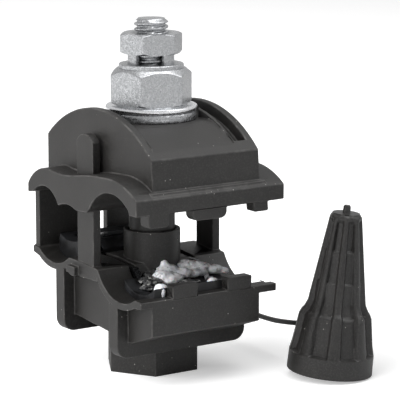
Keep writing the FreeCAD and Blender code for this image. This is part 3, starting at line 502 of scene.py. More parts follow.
class Effects:
    """Node groups that several finishes share, each built once.

    Scales count features to the metre, and every mask, height and tone runs from 0 to 1.
    """

    rubbed_and_highlight = (0.42, 0.62, 0.25, 1.0)
    torn_scale = 5200.0
    torn_share = 0.35
    dot_rim = (0.3, 0.42)
    edge_dust = 3.0
    crystals = (0.36, 0.64)
    facet_share = 0.4

    def __init__(self) -> None:
        """Build every group."""
        self.grain = self._grain()
        self.wear_and_highlight = self._wear_and_highlight()
        self.specks = self._specks()
        self.mottle = self._mottle()

    @staticmethod
    def _start(name: str, inputs: Dict[str, float],
               outputs: Sequence[str]) -> Tuple[Wiring, Node, Node, Socket]:
        """Open a group with float sockets.

        Args:
            name: Name of the group.
            inputs: Input names with their usual values.
            outputs: Output names.

        Returns:
            The wiring, the input node, the output node and the place on the object.
        """
        tree = bpy.data.node_groups.new(name, "ShaderNodeTree")
        for label, usual in inputs.items():
            socket = tree.interface.new_socket(name=label, in_out="INPUT", socket_type="NodeSocketFloat")
            socket.default_value = usual
        for label in outputs:
            tree.interface.new_socket(name=label, in_out="OUTPUT", socket_type="NodeSocketFloat")
        wires = Wiring(tree)
        where = wires.node("TexCoord").outputs["Object"]
        return wires, tree.nodes.new("NodeGroupInput"), tree.nodes.new("NodeGroupOutput"), where

    def _grain(self) -> Tree:
        """Build moulded grain: a fine height and a slow change of tone.

        Returns:
            The group.
        """
        usual = {"Grain scale": 2600.0, "Cloud scale": 120.0}
        wires, enter, leave, where = self._start("Moulded grain", usual, ("Height", "Tone"))
        fine = wires.cloud(where, enter.outputs["Grain scale"], 2.0, 0.6)
        slow = wires.cloud(where, enter.outputs["Cloud scale"], 3.0, 0.6)
        wires.fill(leave, Height=fine, Tone=wires.span(slow, *MOST_NOISE))
        return wires.tree

    def _wear_and_highlight(self) -> Tree:
        """Build edge wear and painted highlight: lighter places along the rounded edges, partly rubbed wear
        and partly painted highlight.

        Returns:
            The group.
        """
        usual = {"Amount": 0.5, "Patch scale": 300.0}
        wires, enter, leave, where = self._start("Edge wear and painted highlight", usual, ("Mask",))
        edge = wires.node("Attribute", attribute_name="edge").outputs["Fac"]
        patch = wires.cloud(where, enter.outputs["Patch scale"], 4.0, 0.65)
        # Painted highlight: the mask lightens the rounded edge faces, standing in partly for light caught on
        # the edges and partly for wear.
        rubbed_and_highlight = wires.maths("MULTIPLY", edge, wires.span(patch, *self.rubbed_and_highlight))
        wires.fill(leave, Mask=wires.maths("MULTIPLY", rubbed_and_highlight, enter.outputs["Amount"], True))
        return wires.tree

    def _specks(self) -> Tree:
        """Build pale specks: few small dots of dust, thicker along edges.

        Returns:
            The group.
        """
        usual = {"Density": 0.05, "Speck scale": 1500.0}
        wires, enter, leave, where = self._start("Pale specks", usual, ("Mask",))
        away, draw, _ = wires.cells(where, enter.outputs["Speck scale"])
        torn = wires.cloud(where, self.torn_scale, 3.0, 0.7)
        ragged = wires.maths("ADD", away, wires.maths("MULTIPLY", torn, self.torn_share))
        dot = wires.span(ragged, *self.dot_rim, 1.0, 0.0)
        edge = wires.node("Attribute", attribute_name="edge").outputs["Fac"]
        thicker = wires.maths("ADD", wires.maths("MULTIPLY", edge, self.edge_dust), 1.0)
        chance = wires.maths("MULTIPLY", enter.outputs["Density"], thicker)
        chosen = wires.maths("LESS_THAN", draw, chance)
        wires.fill(leave, Mask=wires.maths("MULTIPLY", dot, chosen))
        return wires.tree

    def _mottle(self) -> Tree:
        """Build plating mottle: crystal-like patches with a fine sparkle.

        Returns:
            The group.
        """
        usual = {"Patch scale": 900.0, "Sparkle scale": 2400.0}
        wires, enter, leave, where = self._start("Plating mottle", usual, ("Tone", "Sparkle", "Height"))
        patch = wires.cloud(where, enter.outputs["Patch scale"], 4.0, 0.7)
        _, glint, facet = wires.cells(where, enter.outputs["Sparkle scale"])
        wires.fill(leave, Tone=wires.span(patch, *self.crystals), Sparkle=glint,
                   Height=wires.weighed(patch, facet, self.facet_share))
        return wires.tree


def blank_material(name: str) -> Tuple[Material, Wiring, Node]:
    """Start a material with one Principled BSDF.

    Args:
        name: Name of the material.

    Returns:
        The material, its wiring and its shader node.
    """
    material = bpy.data.materials.new(name)
    material.use_nodes = True
    wires = Wiring(material.node_tree)
    return material, wires, material.node_tree.nodes["Principled BSDF"]


# Finishes


@dataclass(frozen=True)
class MouldedPlastic:
    """Black glass-filled plastic with a fine grain, lighter edges that are partly rubbed wear and partly
    painted highlight, and dust.
    """

    name: str
    dark: Colour = (0.0076, 0.0071, 0.0067, 1.0)
    light: Colour = (0.0128, 0.0121, 0.0114, 1.0)
    fleck: Colour = (0.036, 0.0345, 0.033, 1.0)
    # Edge colour: partly rubbed wear, partly painted highlight on the rounded edges.
    rubbed_and_highlight: Colour = (0.085, 0.082, 0.079, 1.0)
    dust: Colour = (0.3, 0.29, 0.27, 1.0)
    rough_low: float = 0.45
    rough_high: float = 0.6
    wear_and_highlight: float = 0.5
    speck_density: float = 0.02
    fleck_range: Pair = (0.42, 0.72)
    fleck_share: float = 0.6
    ior: float = 1.5
    bump: float = 0.22
    rise: float = 0.1

    def material(self, effects: Effects) -> Material:
        """Build the material.

        Args:
            effects: Shared node groups.

        Returns:
            The new material.
        """
        material, wires, shader = blank_material(self.name)
        grain = wires.group(effects.grain)
        wear_and_highlight = wires.group(effects.wear_and_highlight, Amount=self.wear_and_highlight)
        specks = wires.group(effects.specks, Density=self.speck_density)
        base = wires.blend(grain.outputs["Tone"], self.dark, self.light)
        flecks = wires.span(grain.outputs["Height"], *self.fleck_range, 0.0, self.fleck_share)
        base = wires.blend(flecks, base, self.fleck)
        # Painted highlight mixed with wear: the rounded edges turn lighter.
        base = wires.blend(wear_and_highlight.outputs["Mask"], base, self.rubbed_and_highlight)
        base = wires.blend(specks.outputs["Mask"], base, self.dust)
        rough = wires.span(grain.outputs["Height"], *MOST_NOISE, self.rough_low, self.rough_high)
        wires.fill(shader, Base_Color=base, Roughness=rough, IOR=self.ior)
        wires.bump(grain.outputs["Height"], self.bump, self.rise, shader)
        return material


@dataclass(frozen=True)
class ZincPlate:
    """Bright zinc plating with a mottled, sparkling surface."""

    name: str
    dark: Colour = (0.35, 0.358, 0.37, 1.0)
    light: Colour = (0.58, 0.588, 0.602, 1.0)
    rough_low: float = 0.24
    rough_high: float = 0.46
    sparkle_share: float = 0.45
    bump: float = 0.3
    rise: float = 0.12
    patch_scale: float = 2600.0
    sparkle_scale: float = 5200.0

    def material(self, effects: Effects) -> Material:
        """Build the material.

        Args:
            effects: Shared node groups.

        Returns:
            The new material.
        """
        material, wires, shader = blank_material(self.name)
        mottle = wires.group(effects.mottle, Patch_scale=self.patch_scale, Sparkle_scale=self.sparkle_scale)
        mixed = wires.weighed(mottle.outputs["Tone"], mottle.outputs["Sparkle"], self.sparkle_share)
        rough = wires.span(mottle.outputs["Tone"], 0.0, 1.0, self.rough_high, self.rough_low)
        base = wires.blend(mixed, self.dark, self.light)
        wires.fill(shader, Base_Color=base, Roughness=rough, Metallic=1.0)
        wires.bump(mottle.outputs["Height"], self.bump, self.rise, shader)
        return material


@dataclass(frozen=True)
class SealRubber:
    """Soft dark rubber, greased in patches."""

    name: str
    dark: Colour = (0.004, 0.004, 0.0042, 1.0)
    light: Colour = (0.016, 0.0165, 0.018, 1.0)
    patch_range: Pair = (0.2, 0.8)
    greased: float = 0.4
    dry: float = 0.7
    grain_scale: float = 1500.0
    patch_scale: float = 260.0
    bump: float = 0.25
    rise: float = 0.2

    def material(self, effects: Effects) -> Material:
        """Build the material.

        Args:
            effects: Shared node groups.

        Returns:
            The new material.
        """
        material, wires, shader = blank_material(self.name)
        grain = wires.group(effects.grain, Grain_scale=self.grain_scale, Cloud_scale=self.patch_scale)
        tone = grain.outputs["Tone"]
        rough = wires.span(tone, *self.patch_range, self.greased, self.dry)
        wires.fill(shader, Base_Color=wires.blend(tone, self.dark, self.light), Roughness=rough)
        wires.bump(tone, self.bump, self.rise, shader)
        return material


@dataclass(frozen=True)
class ContactGrease:
    """Pale contact grease with metal dust in it."""

    name: str
    clear: Colour = (0.78, 0.79, 0.82, 1.0)
    milky: Colour = (0.96, 0.965, 0.975, 1.0)
    dusty: Colour = (0.07, 0.07, 0.07, 1.0)
    patch_scale: float = 420.0
    dust_scale: float = 1900.0
    dust_range: Pair = (0.8, 0.97)
    dust_share: float = 0.4
    rough: float = 0.2
    weight: float = 0.08
    depth: float = 1.0
    bump: float = 0.4
    rise: float = 0.2

    def material(self, effects: Effects) -> Material:
        """Build the material.

        Args:
            effects: Shared node groups.

        Returns:
            The new material.
        """
        material, wires, shader = blank_material(self.name)
        mottle = wires.group(effects.mottle, Patch_scale=self.patch_scale, Sparkle_scale=self.dust_scale)
        base = wires.blend(mottle.outputs["Tone"], self.clear, self.milky)
        amount = wires.span(mottle.outputs["Sparkle"], *self.dust_range, 0.0, self.dust_share)
        wires.fill(shader, Base_Color=wires.blend(amount, base, self.dusty), Roughness=self.rough,
                   Subsurface_Weight=self.weight, Subsurface_Scale=self.depth * MM)
        wires.bump(mottle.outputs["Height"], self.bump, self.rise, shader)
        return material


# Sub-assemblies


@dataclass(frozen=True)
class Jaws:
    """The two moulded jaws."""

    upper_break: EdgeBreak = EdgeBreak(width=0.3)
    lower_break: EdgeBreak = EdgeBreak()

    def build(self, plastic: Material) -> List[Piece]:
        """Make both jaws with rounded edges.

        Args:
            plastic: Finish of the mouldings.

        Returns:
            The two pieces.
        """
        upper = self.upper_break.softened("upper_jaw", "upper_moulding")
        lower = self.lower_break.softened("lower_jaw", "lower_moulding")
        return [settle(upper, Body.UPPER, plastic, ["upper_jaw"]),
                settle(lower, Body.LOWER, plastic, ["lower_jaw"])]


@dataclass(frozen=True)
class ClampBolt:
    """Hex-head bolt with a rolled thread, worn on one side, in millimetres and degrees."""

    shank_r: float = 3.95
    pitch: float = 1.25
    thread_depth: float = 0.66
    flank: Pair = (0.12, 0.8)
    thread_low: float = 58.0
    tip_z: float = 82.5
    tip_bevel: float = 0.8
    head_af: float = 13.0
    flat_blend: float = 0.2
    head_top: float = 6.3
    head: Tuple[Pair, ...] = (
        (1.0, 0.7), (6.2, 0.7), (6.9, 1.2), (7.6, 2.2), (7.6, 6.2), (7.4, 6.3), (4.2, 6.3), (3.95, 6.6))
    worn_bearing: float = -125.2
    worn_turn: float = 15.0
    worn_share: float = 0.75
    rows_per_turn: int = 14
    columns: int = 120

    def build(self, zinc: Material) -> Piece:
        """Make the bolt as one skin from its head to its tip.

        Args:
            zinc: Finish of the bolt.

        Returns:
            The piece.
        """
        rise = self.pitch / self.rows_per_turn
        rows = int((self.tip_z - self.thread_low) / rise)
        outline = list(self.head) + [(self.shank_r, self.thread_low - 1.0)]
        outline += [(self.shank_r, self.thread_low + row * rise) for row in range(rows)]
        outline += [(self.shank_r, self.tip_z - 0.02), (self.shank_r - self.tip_bevel, self.tip_z),
                    (1.0, self.tip_z)]
        bolt = spun("threaded_bolt", outline, self.columns, self._reach, ring=False, crease=40.0)
        return settle(bolt, Body.LOWER, zinc, ["clamp_bolt"])

    def _reach(self, radius: float, angle: float, height: float) -> float:
        """Radius of the head's hexagon or the thread at one place.

        Args:
            radius: Radius in the plain section.
            angle: Bearing in radians.
            height: Height in millimetres.

        Returns:
            The reshaped radius.
        """
        if height <= self.head_top:
            return soft_least(radius, hex_reach(self.head_af, 0.0, angle), self.flat_blend)
        if height < self.thread_low:
            return radius
        phase = (height / self.pitch - angle / TAU) % 1.0
        crest = 1.0 - abs(2.0 * phase - 1.0)
        groove = 1.0 - smoothstep(*self.flank, crest)
        aside = (degrees(angle) - self.worn_bearing + 180.0) % 360.0 - 180.0
        left = 1.0 - self.worn_share * exp(-(aside / self.worn_turn) ** 2)
        fade = smoothstep(self.thread_low, self.thread_low + 1.0, height)
        bevel = self.shank_r - self.tip_bevel * smoothstep(self.tip_z - 0.9, self.tip_z, height)
        return min(radius - self.thread_depth * groove * fade * left, bevel)


@dataclass(frozen=True)
class ShearNut:
    """Turned nut with a large hex, a windowed neck and a small drive hex."""

    turn: float = -17.7
    foot_z: float = 62.15
    large_af: float = 17.0
    foot_r: float = 8.1
    hex_z: float = 62.65
    cone_z: float = 69.5
    cone_top_r: float = 8.0
    collar_z: float = 71.0
    collar_r: float = 7.55
    neck_z: float = 72.0
    neck_r: float = 5.5
    bore_r: float = 4.15
    drive_z: float = 74.4
    drive_top_z: float = 79.15
    drive_af: float = 13.0
    flat_blend: float = 0.1
    crease: float = 28.0
    windows: int = 3
    window_share: float = 0.62
    window_bearing: float = -127.5
    post_sink: float = 0.3
    post_bevel: float = 0.25
    post_steps: int = 14
    columns: int = 216

    def build(self, zinc: Material) -> Piece:
        """Make the nut from its two hexes and the posts of its neck.

        Args:
            zinc: Finish of the nut.

        Returns:
            The piece.
        """
        corner, low, neck = self.large_af / sqrt(3.0), self.hex_z, self.neck_z
        large = dense([(self.foot_r, self.foot_z), (self.foot_r, low), (corner - 0.9, low + 0.02),
                       (corner - 0.1, low + 0.4), (corner, low + 0.55), (corner, self.cone_z - 0.05),
                       (corner - 0.06, self.cone_z + 0.05), (self.cone_top_r, self.collar_z),
                       (self.collar_r, self.collar_z + 0.02), (self.collar_r, neck - 0.15),
                       (self.collar_r - 0.15, neck)], 0.2)
        large += [(6.0, neck + 0.02), (self.bore_r + 0.2, neck), (self.bore_r, neck - 0.4),
                  (self.bore_r, self.foot_z + 0.4), (self.bore_r + 0.4, self.foot_z)]
        lower = spun("nut_large", large, self.columns, self._hexed(self.large_af), crease=self.crease)
        corner = self.drive_af / sqrt(3.0)
        top = self.drive_top_z
        small = dense([(corner - 0.85, self.drive_z), (corner, self.drive_z + 0.45), (corner, top - 0.45),
                       (corner - 0.85, top)], 0.22)
        small += [(5.2, top), (self.bore_r + 0.5, top), (self.bore_r, top - 0.5), (self.bore_r, self.drive_z)]
        upper = spun("nut_drive", small, self.columns, self._hexed(self.drive_af), crease=self.crease)
        posts = [self._post(number) for number in range(self.windows)]
        nut = joined_piece("turned_nut", [lower, upper] + posts)
        return settle(nut, Body.NUT, zinc, ["shear_nut"])

    def _hexed(self, across_flats: float) -> Shaper:
        """Give the rule that cuts six flats on a turned section."""
        return lambda radius, angle, _: soft_least(radius, hex_reach(across_flats, self.turn, angle),
                                                   self.flat_blend)

    def _post(self, number: int) -> Piece:
        """Make one of the posts between the neck's windows.

        Args:
            number: Which post, from 0.

        Returns:
            The post as an object of its own.
        """
        third = TAU / self.windows
        half = third * (1.0 - self.window_share) / 2.0
        middle = radians(self.window_bearing) + third * (number + 0.5)
        low, high, steps = self.neck_z - self.post_sink, self.drive_z + self.post_sink, self.post_steps
        points: List[Point] = []
        for step in range(steps + 1):
            angle = middle - half + 2.0 * half * step / steps
            ends = self.post_bevel if step in (0, steps) else 0.0
            outer, inner = self.neck_r - ends, self.bore_r + ends
            for radius, height in ((outer, low), (outer, high), (inner, high), (inner, low)):
                points.append((radius * cos(angle), radius * sin(angle), height))
        last = 4 * steps
        faces: List[Sequence[int]] = []
        for near in range(0, last, 4):
            for side, after in ((0, 1), (1, 2), (2, 3), (3, 0)):
                faces.append((near + side, near + 4 + side, near + 4 + after, near + after))
        faces += [(0, 1, 2, 3), (last + 3, last + 2, last + 1, last)]
        return piece_from("nut_post_%d" % number, points, faces)


def joined_piece(name: str, parts: Sequence[Piece]) -> Piece:
    """Join objects that sit at the origin into one.

    Args:
        name: Name of the joined object.
        parts: Objects to join; they are removed.

    Returns:
        The joined object.
    """
    work = bmesh.new()
    for part in parts:
        work.from_mesh(part.data)
    for part in parts:
        bpy.data.objects.remove(part)
    return object_from(work, name)


@dataclass(frozen=True)
class Washers:
    """The thick flat washer and the thin one with a raised rim."""

    outer_r: float = 10.5
    rim_more: float = 0.2
    bore_r: float = 4.25
    seat_z: float = 59.1
    plain_t: float = 2.0
    dished_t: float = 1.4
    dish_depth: float = 0.35
    rim_w: float = 1.3
    torn: float = 0.1
    torn_scale: float = 1.7
    columns: int = 180

    def build(self, rough_zinc: Material, reflection_painted_zinc: Material) -> List[Piece]:
        """Make both washers.

        Args:
            rough_zinc: Finish of the flat washer.
            reflection_painted_zinc: Finish of the dished washer, far paler than the flat washer's zinc as a
                painted reflection.

        Returns:
            The two pieces.
        """
        low, high = self.seat_z, self.seat_z + self.plain_t
        plain = [(self.bore_r, low + 0.2), (self.bore_r + 0.2, low), (self.outer_r - 0.4, low),
                 (self.outer_r - 0.12, low + 0.12), (self.outer_r, low + 0.45), (self.outer_r, high - 0.45),
                 (self.outer_r - 0.12, high - 0.12), (self.outer_r - 0.4, high), (self.bore_r + 0.2, high),
                 (self.bore_r, high - 0.2)]
        flat = spun("flat_washer", plain, self.columns, self._rough_rim)
        base, top = high, high + self.dished_t
        floor = top - self.dish_depth
        wide = self.outer_r + self.rim_more
        foot = wide - self.rim_w
        dish = [(self.bore_r, base + 0.1), (self.bore_r + 0.1, base), (wide - 0.6, base),
                (wide - 0.2, base + 0.2), (wide, base + 0.55), (wide, top - 0.5), (wide - 0.12, top - 0.2),
                (wide - 0.4, top - 0.03), (wide - 0.75, top), (foot + 0.05, top - 0.08),
                (foot - 0.1, floor + 0.1), (foot - 0.35, floor), (self.bore_r + 0.1, floor),
                (self.bore_r, floor - 0.1)]
        dished = spun("rimmed_washer", dish, self.columns)
        return [settle(flat, Body.UPPER, rough_zinc, ["plain_washer"]),
                settle(dished, Body.UPPER, reflection_painted_zinc, ["dished_washer"])]

    def _rough_rim(self, radius: float, angle: float, height: float) -> float:
        """Radius of the flat washer, with a torn punched edge.

        Args:
            radius: Radius in the plain section.
            angle: Bearing in radians.
            height: Height in millimetres.

        Returns:
            The reshaped radius.
        """
        if radius < self.outer_r - 0.2:
            return radius
        place = Vector((radius * cos(angle), radius * sin(angle), height))
        return radius - self.torn - self.torn * noise.noise(place * self.torn_scale)


@dataclass(frozen=True)
class Contacts:
    """Toothed contact plates and soft seals in both jaws."""

    blade_break: EdgeBreak = EdgeBreak(width=0.1, steps=1, shortest=0.2)
    seal_break: EdgeBreak = EdgeBreak(width=0.25, shortest=0.3)

    def build(self, metal: Material, rubber: Material) -> List[Piece]:
        """Make the plates and seals.

        Args:
            metal: Finish of the plates.
            rubber: Finish of the seals.

        Returns:
            The eight pieces.
        """
        made = []
        for level, body in (("lower", Body.LOWER), ("upper", Body.UPPER)):
            for side in ("left", "right"):
                node = "blade_%s_%s" % (level, side)
                plate = self.blade_break.softened(node, "plate_%s_%s" % (level, side))
                made.append(settle(plate, body, metal, [node]))
            for channel in ("main", "tap"):
                node = "%s_seal_%s" % (channel, level)
                saddle = self.seal_break.softened(node, "%s_saddle_%s" % (channel, level))
                made.append(settle(saddle, body, rubber, [node]))
        return made


@dataclass(frozen=True)
class Blob:
    """One lump of grease: centre, half sizes and turn about Z, in millimetres and degrees."""

    centre: Point
    half: Point
    turn: float = 0.0


@dataclass(frozen=True)
class Grease:
    """Squeezed grease on the plates and seals."""

    near_lumps: Tuple[Blob, ...] = (
        Blob((-2.6, -8.9, 23.4), (2.8, 2.8, 1.5)),
        Blob((-0.6, -7.4, 24.2), (2.9, 2.6, 1.5), 20.0),
        Blob((-1.2, -6.8, 25.4), (1.1, 1.1, 1.3)),
        Blob((-1.4, -10.4, 22.9), (3.0, 2.2, 1.3)),
        Blob((2.0, -9.0, 23.6), (3.0, 2.6, 1.2), -10.0),
        Blob((4.8, -9.8, 23.3), (2.8, 1.7, 1.0), -5.0),
        Blob((7.0, -10.1, 23.1), (1.8, 1.0, 0.8)),
        Blob((5.6, -6.4, 24.7), (2.7, 2.0, 1.1), -20.0),
        Blob((8.0, -7.8, 24.2), (2.8, 2.2, 1.1), -30.0),
        Blob((10.8, -9.3, 23.5), (2.6, 1.7, 1.0), -30.0),
        Blob((12.8, -10.3, 23.0), (1.8, 1.0, 0.8), -25.0),
        Blob((4.0, -18.8, 23.2), (1.2, 0.9, 0.8)),
        Blob((-9.9, -18.5, 23.0), (0.9, 1.6, 1.3), 60.0),
        Blob((-10.4, -19.5, 22.2), (0.7, 1.0, 1.7), 30.0),
    )
    film_lumps: Tuple[Blob, ...] = (
        Blob((-6.2, -8.8, 22.8), (3.3, 2.8, 0.8)),
        Blob((-8.4, -11.3, 21.8), (2.2, 2.2, 0.7)),
        Blob((-3.8, -6.2, 23.8), (3.0, 1.5, 0.8)),
        Blob((2.2, -5.5, 24.1), (3.4, 1.2, 0.7)),
        Blob((-5.0, -12.8, 21.3), (3.4, 2.4, 0.7)),
        Blob((1.0, -12.0, 21.9), (4.5, 1.8, 0.7)),
    )
    sleeve_r: float = 6.3
    voxel: float = 0.2
    smooth_share: float = 0.5
    smooth_rounds: int = 10
    ripple: float = 0.24
    ripple_scale: float = 0.55
    ripple_layers: Tuple[float, float, int] = (0.8, 2.1, 3)
    film_ripple: float = 0.072

    def build(self, paste: Material, thin: Material,
              streaked: Material) -> List[Piece]:
        """Make the lumps on the main cable's side and films elsewhere.

        Args:
            paste: Finish of the thick grease.
            thin: Finish of the films.
            streaked: Finish of the dirty smear beside the lumps.

        Returns:
            The pieces.
        """
        lump = self._lumps("grease_lump", self.near_lumps)
        made = [settle(lump, Body.LOWER, paste, ["main_grease_lower"])]
        made.append(settle(self._lumps("grease_smear", self.film_lumps), Body.LOWER, streaked))
        for node, body in (("tap_grease_lower", Body.LOWER), ("main_grease_upper", Body.UPPER),
                           ("tap_grease_upper", Body.UPPER)):
            film = self._film(node, "film_" + node)
            made.append(settle(film, body, thin, [node]))
        return made

    def _lumps(self, name: str, lumps: Sequence[Blob]) -> Piece:
        """Melt a set of lumps into one skin and ripple it.

        Args:
            name: Name of the piece.
            lumps: The lumps.

        Returns:
            The new object.
        """
        work = bmesh.new()
        for lump in lumps:
            spot = Matrix.Translation(Vector(lump.centre) * MM)
            spot = spot @ Matrix.Rotation(radians(lump.turn), 4, "Z")
            shape = Matrix.Diagonal(Vector(lump.half) * MM).to_4x4()
            bmesh.ops.create_icosphere(work, subdivisions=4, radius=1.0, matrix=spot @ shape)
        piece = self._melted(work, name, self.ripple)
        self._push_off_sleeve(piece)
        return piece

    def _push_off_sleeve(self, piece: Piece) -> None:
        """Keep the grease out of the lower sleeve, where the upper one slides.

        Args:
            piece: Piece of grease to press back.
        """
        for vertex in piece.data.vertices:
            reach = hypot(vertex.co.x, vertex.co.y) / MM
            if reach < self.sleeve_r:
                vertex.co.x *= self.sleeve_r / reach
                vertex.co.y *= self.sleeve_r / reach

    def _film(self, node: str, name: str) -> Piece:
        """Copy a thin film's solid and ripple it.

        Args:
            node: Name of the solid.
            name: Name of the piece.

        Returns:
            The new object.
        """
        work = bmesh.new()
        work.from_mesh(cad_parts[node].data)
        return self._melted(work, name, self.film_ripple)

    def _melted(self, work: bmesh.types.BMesh, name: str, ripple: float) -> Piece:
        """Turn a work mesh into one remeshed, smoothed and rippled skin.

        Args:
            work: Mesh that holds the closed lumps.
            name: Name of the piece.
            ripple: Height of the ripple in millimetres.

        Returns:
            The new object.
        """
        piece = object_from(work, name)
        remesh = piece.modifiers.new("melt", "REMESH")
        remesh.mode = "VOXEL"
        remesh.voxel_size = self.voxel * MM
        smooth = piece.modifiers.new("settle", "SMOOTH")
        smooth.factor = self.smooth_share
        smooth.iterations = self.smooth_rounds
        for vertex in applied(piece).data.vertices:
            swell = noise.fractal(vertex.co / MM * self.ripple_scale, *self.ripple_layers)
            vertex.co += vertex.normal * (ripple * swell * MM)
        return shaded(piece, 60.0)


@dataclass(frozen=True)
class EndCap:
    """Fluted end cap that leans on its rim, in millimetres and degrees."""

    place: Pair = (28.7, -31.3)
    lean: float = 5.5
    view_turn: float = 35.2
    base_r: float = 10.0
    seat: float = 0.05
    wall: float = 1.7
    bore: Tuple[Pair, ...] = ((1.0, 30.0), (2.0, 30.0), (4.9, 17.0))
    ribs: int = 8
    envelope: Tuple[Pair, ...] = (
        (0.0, 10.0), (4.6, 9.9), (6.8, 9.4), (13.2, 8.5), (16.4, 7.0), (36.8, 3.95), (37.6, 3.2))
    panel_depth: Tuple[Pair, ...] = (
        (0.0, 0.0), (4.6, 0.0), (5.0, 1.2), (13.7, 1.35), (14.1, 1.75), (21.4, 1.0), (21.8, 1.45),
        (28.8, 1.05), (29.2, 1.55), (35.4, 1.2), (36.4, 0.35), (37.6, 0.0))
    rib_half: Tuple[Pair, ...] = (
        (0.0, 1.9), (8.0, 1.55), (14.0, 1.3), (15.2, 1.1), (24.0, 1.05), (37.6, 0.7))
    rib_crown: float = 0.18
    rib_drop: float = 0.22
    rib_drop_at: Pair = (14.2, 15.0)
    rib_blend: float = 0.3
    nib_r: float = 0.9
    nib_h: float = 1.8
    row_step: float = 0.3
    extra_rows: Tuple[float, ...] = (0.15, 14.0, 15.0)
    columns: int = 288

    def build(self, plastic: Material) -> Piece:
        """Make the cap and lean it in its place.

        Args:
            plastic: Finish of the cap.

        Returns:
            The piece.
        """
        top = self.envelope[-1][0]
        heights = [row * self.row_step for row in range(int(top / self.row_step) + 1)]
        heights += [height for height, _ in self.panel_depth] + list(self.extra_rows)
        levels = sorted({round(height, 2) for height in heights})
        mouth = self.base_r - self.wall
        inner = [*self.bore, (mouth, 6.0), (mouth, 0.2), (mouth + 0.2, 0.0), (self.base_r - 0.15, 0.0)]
        outer = [(self._along(self.envelope, height), height) for height in levels if height > 0.1]
        crown = [(2.6, top), (1.6, top + 0.02), (self.nib_r + 0.1, top + 0.05), (self.nib_r, top + 0.3),
                 (self.nib_r * 0.95, top + self.nib_h - 0.35), (self.nib_r * 0.7, top + self.nib_h),
                 (0.1, top + self.nib_h)]
        cap = spun("fluted_cap", inner + outer + crown, self.columns, self._reach, ring=False, crease=50.0)
        axis = Vector((sin(radians(self.view_turn)), cos(radians(self.view_turn)), 0.0))
        lift = self.base_r * sin(radians(self.lean)) + self.seat
        spot = Matrix.Translation(Vector((self.place[0], self.place[1], lift)) * MM)
        cap.data.transform(spot @ Matrix.Rotation(radians(self.lean), 4, axis))
        return settle(cap, Body.LOWER, plastic, ["tap_end_cap"])

    @staticmethod
    def _along(table: Sequence[Pair], height: float) -> float:
        """Read a value from a table of height and value pairs.

        Args:
            table: The pairs, from the lowest up.
            height: Height to read at.

        Returns:
            The value there.
        """
        for (z0, v0), (z1, v1) in zip(table, table[1:]):
            if height <= z1:
                return v0 + (v1 - v0) * max(height - z0, 0.0) / (z1 - z0)
        return table[-1][1]

    def _reach(self, radius: float, angle: float, height: float) -> float:
        """Radius of the fluted skin at one place.

        Args:
            radius: Radius of the ribs' envelope.
            angle: Bearing in radians.
            height: Height in millimetres.

        Returns:
            The reshaped radius.
        """
        if radius < self._along(self.envelope, height) - 0.3 or height > self.envelope[-1][0] - 0.001:
            return radius
        step = TAU / self.ribs
        bearing = angle - radians(-90.0 - self.view_turn)
        aside = abs((bearing + step / 2.0) % step - step / 2.0) * radius
        half = self._along(self.rib_half, height)
        rib = 1.0 - smoothstep(half - self.rib_blend, half + self.rib_blend, aside)
        crown = self.rib_crown * (aside / half) ** 2 * rib
        depth = self._along(self.panel_depth, height)
        drop = self.rib_drop * rib * smoothstep(*self.rib_drop_at, height)
        return radius - depth * (1.0 - rib) - crown * min(depth, 1.0) - drop


@dataclass(frozen=True)
class Tether:
    """Thin moulded strap from the lower jaw to the cap, in millimetres."""

    route: Tuple[Point, ...] = (
        (19.1, 12.4, 10.4), (23.0, 12.4, 10.4), (26.6, 10.2, 9.9), (28.8, 6.1, 9.4), (29.0, -0.6, 8.6),
        (27.9, -10.0, 9.0), (27.2, -16.0, 9.8), (27.0, -21.0, 10.5), (28.1, -23.35, 10.8))
    diameter: float = 1.2
    length: float = 42.5

    def build(self, plastic: Material, cap: Piece) -> Piece:
        """Make the strap as one smooth spline.

        Args:
            plastic: Finish of the strap.
            cap: The cap on its far end; not used.

        Returns:
            The piece.
        """
        curve = bpy.data.curves.new("cap_strap", "CURVE")
        curve.dimensions = "3D"
        curve.bevel_depth = self.diameter / 2.0 * MM
        curve.bevel_resolution = 5
        curve.resolution_u = 10
        curve.use_fill_caps = True
        spline = curve.splines.new("NURBS")
        spline.points.add(len(self.route) - 1)
        for point, (x, y, z) in zip(spline.points, self.route):
            point.co = (x * MM, y * MM, z * MM, 1.0)
        spline.order_u = 3
        spline.use_endpoint_u = True
        strap = linked(bpy.data.objects.new("cap_strap", curve))
        settle(strap, Body.LOWER, plastic, ["cap_tether"])
        return strap


# Stage


@dataclass(frozen=True)
class SoftLamp:
    """A square lamp: its middle and side in millimetres, and its power in watts."""

    name: str
    place: Point
    side: float
    power: float
    lights_gloss: bool = True
    lights_matt: bool = True


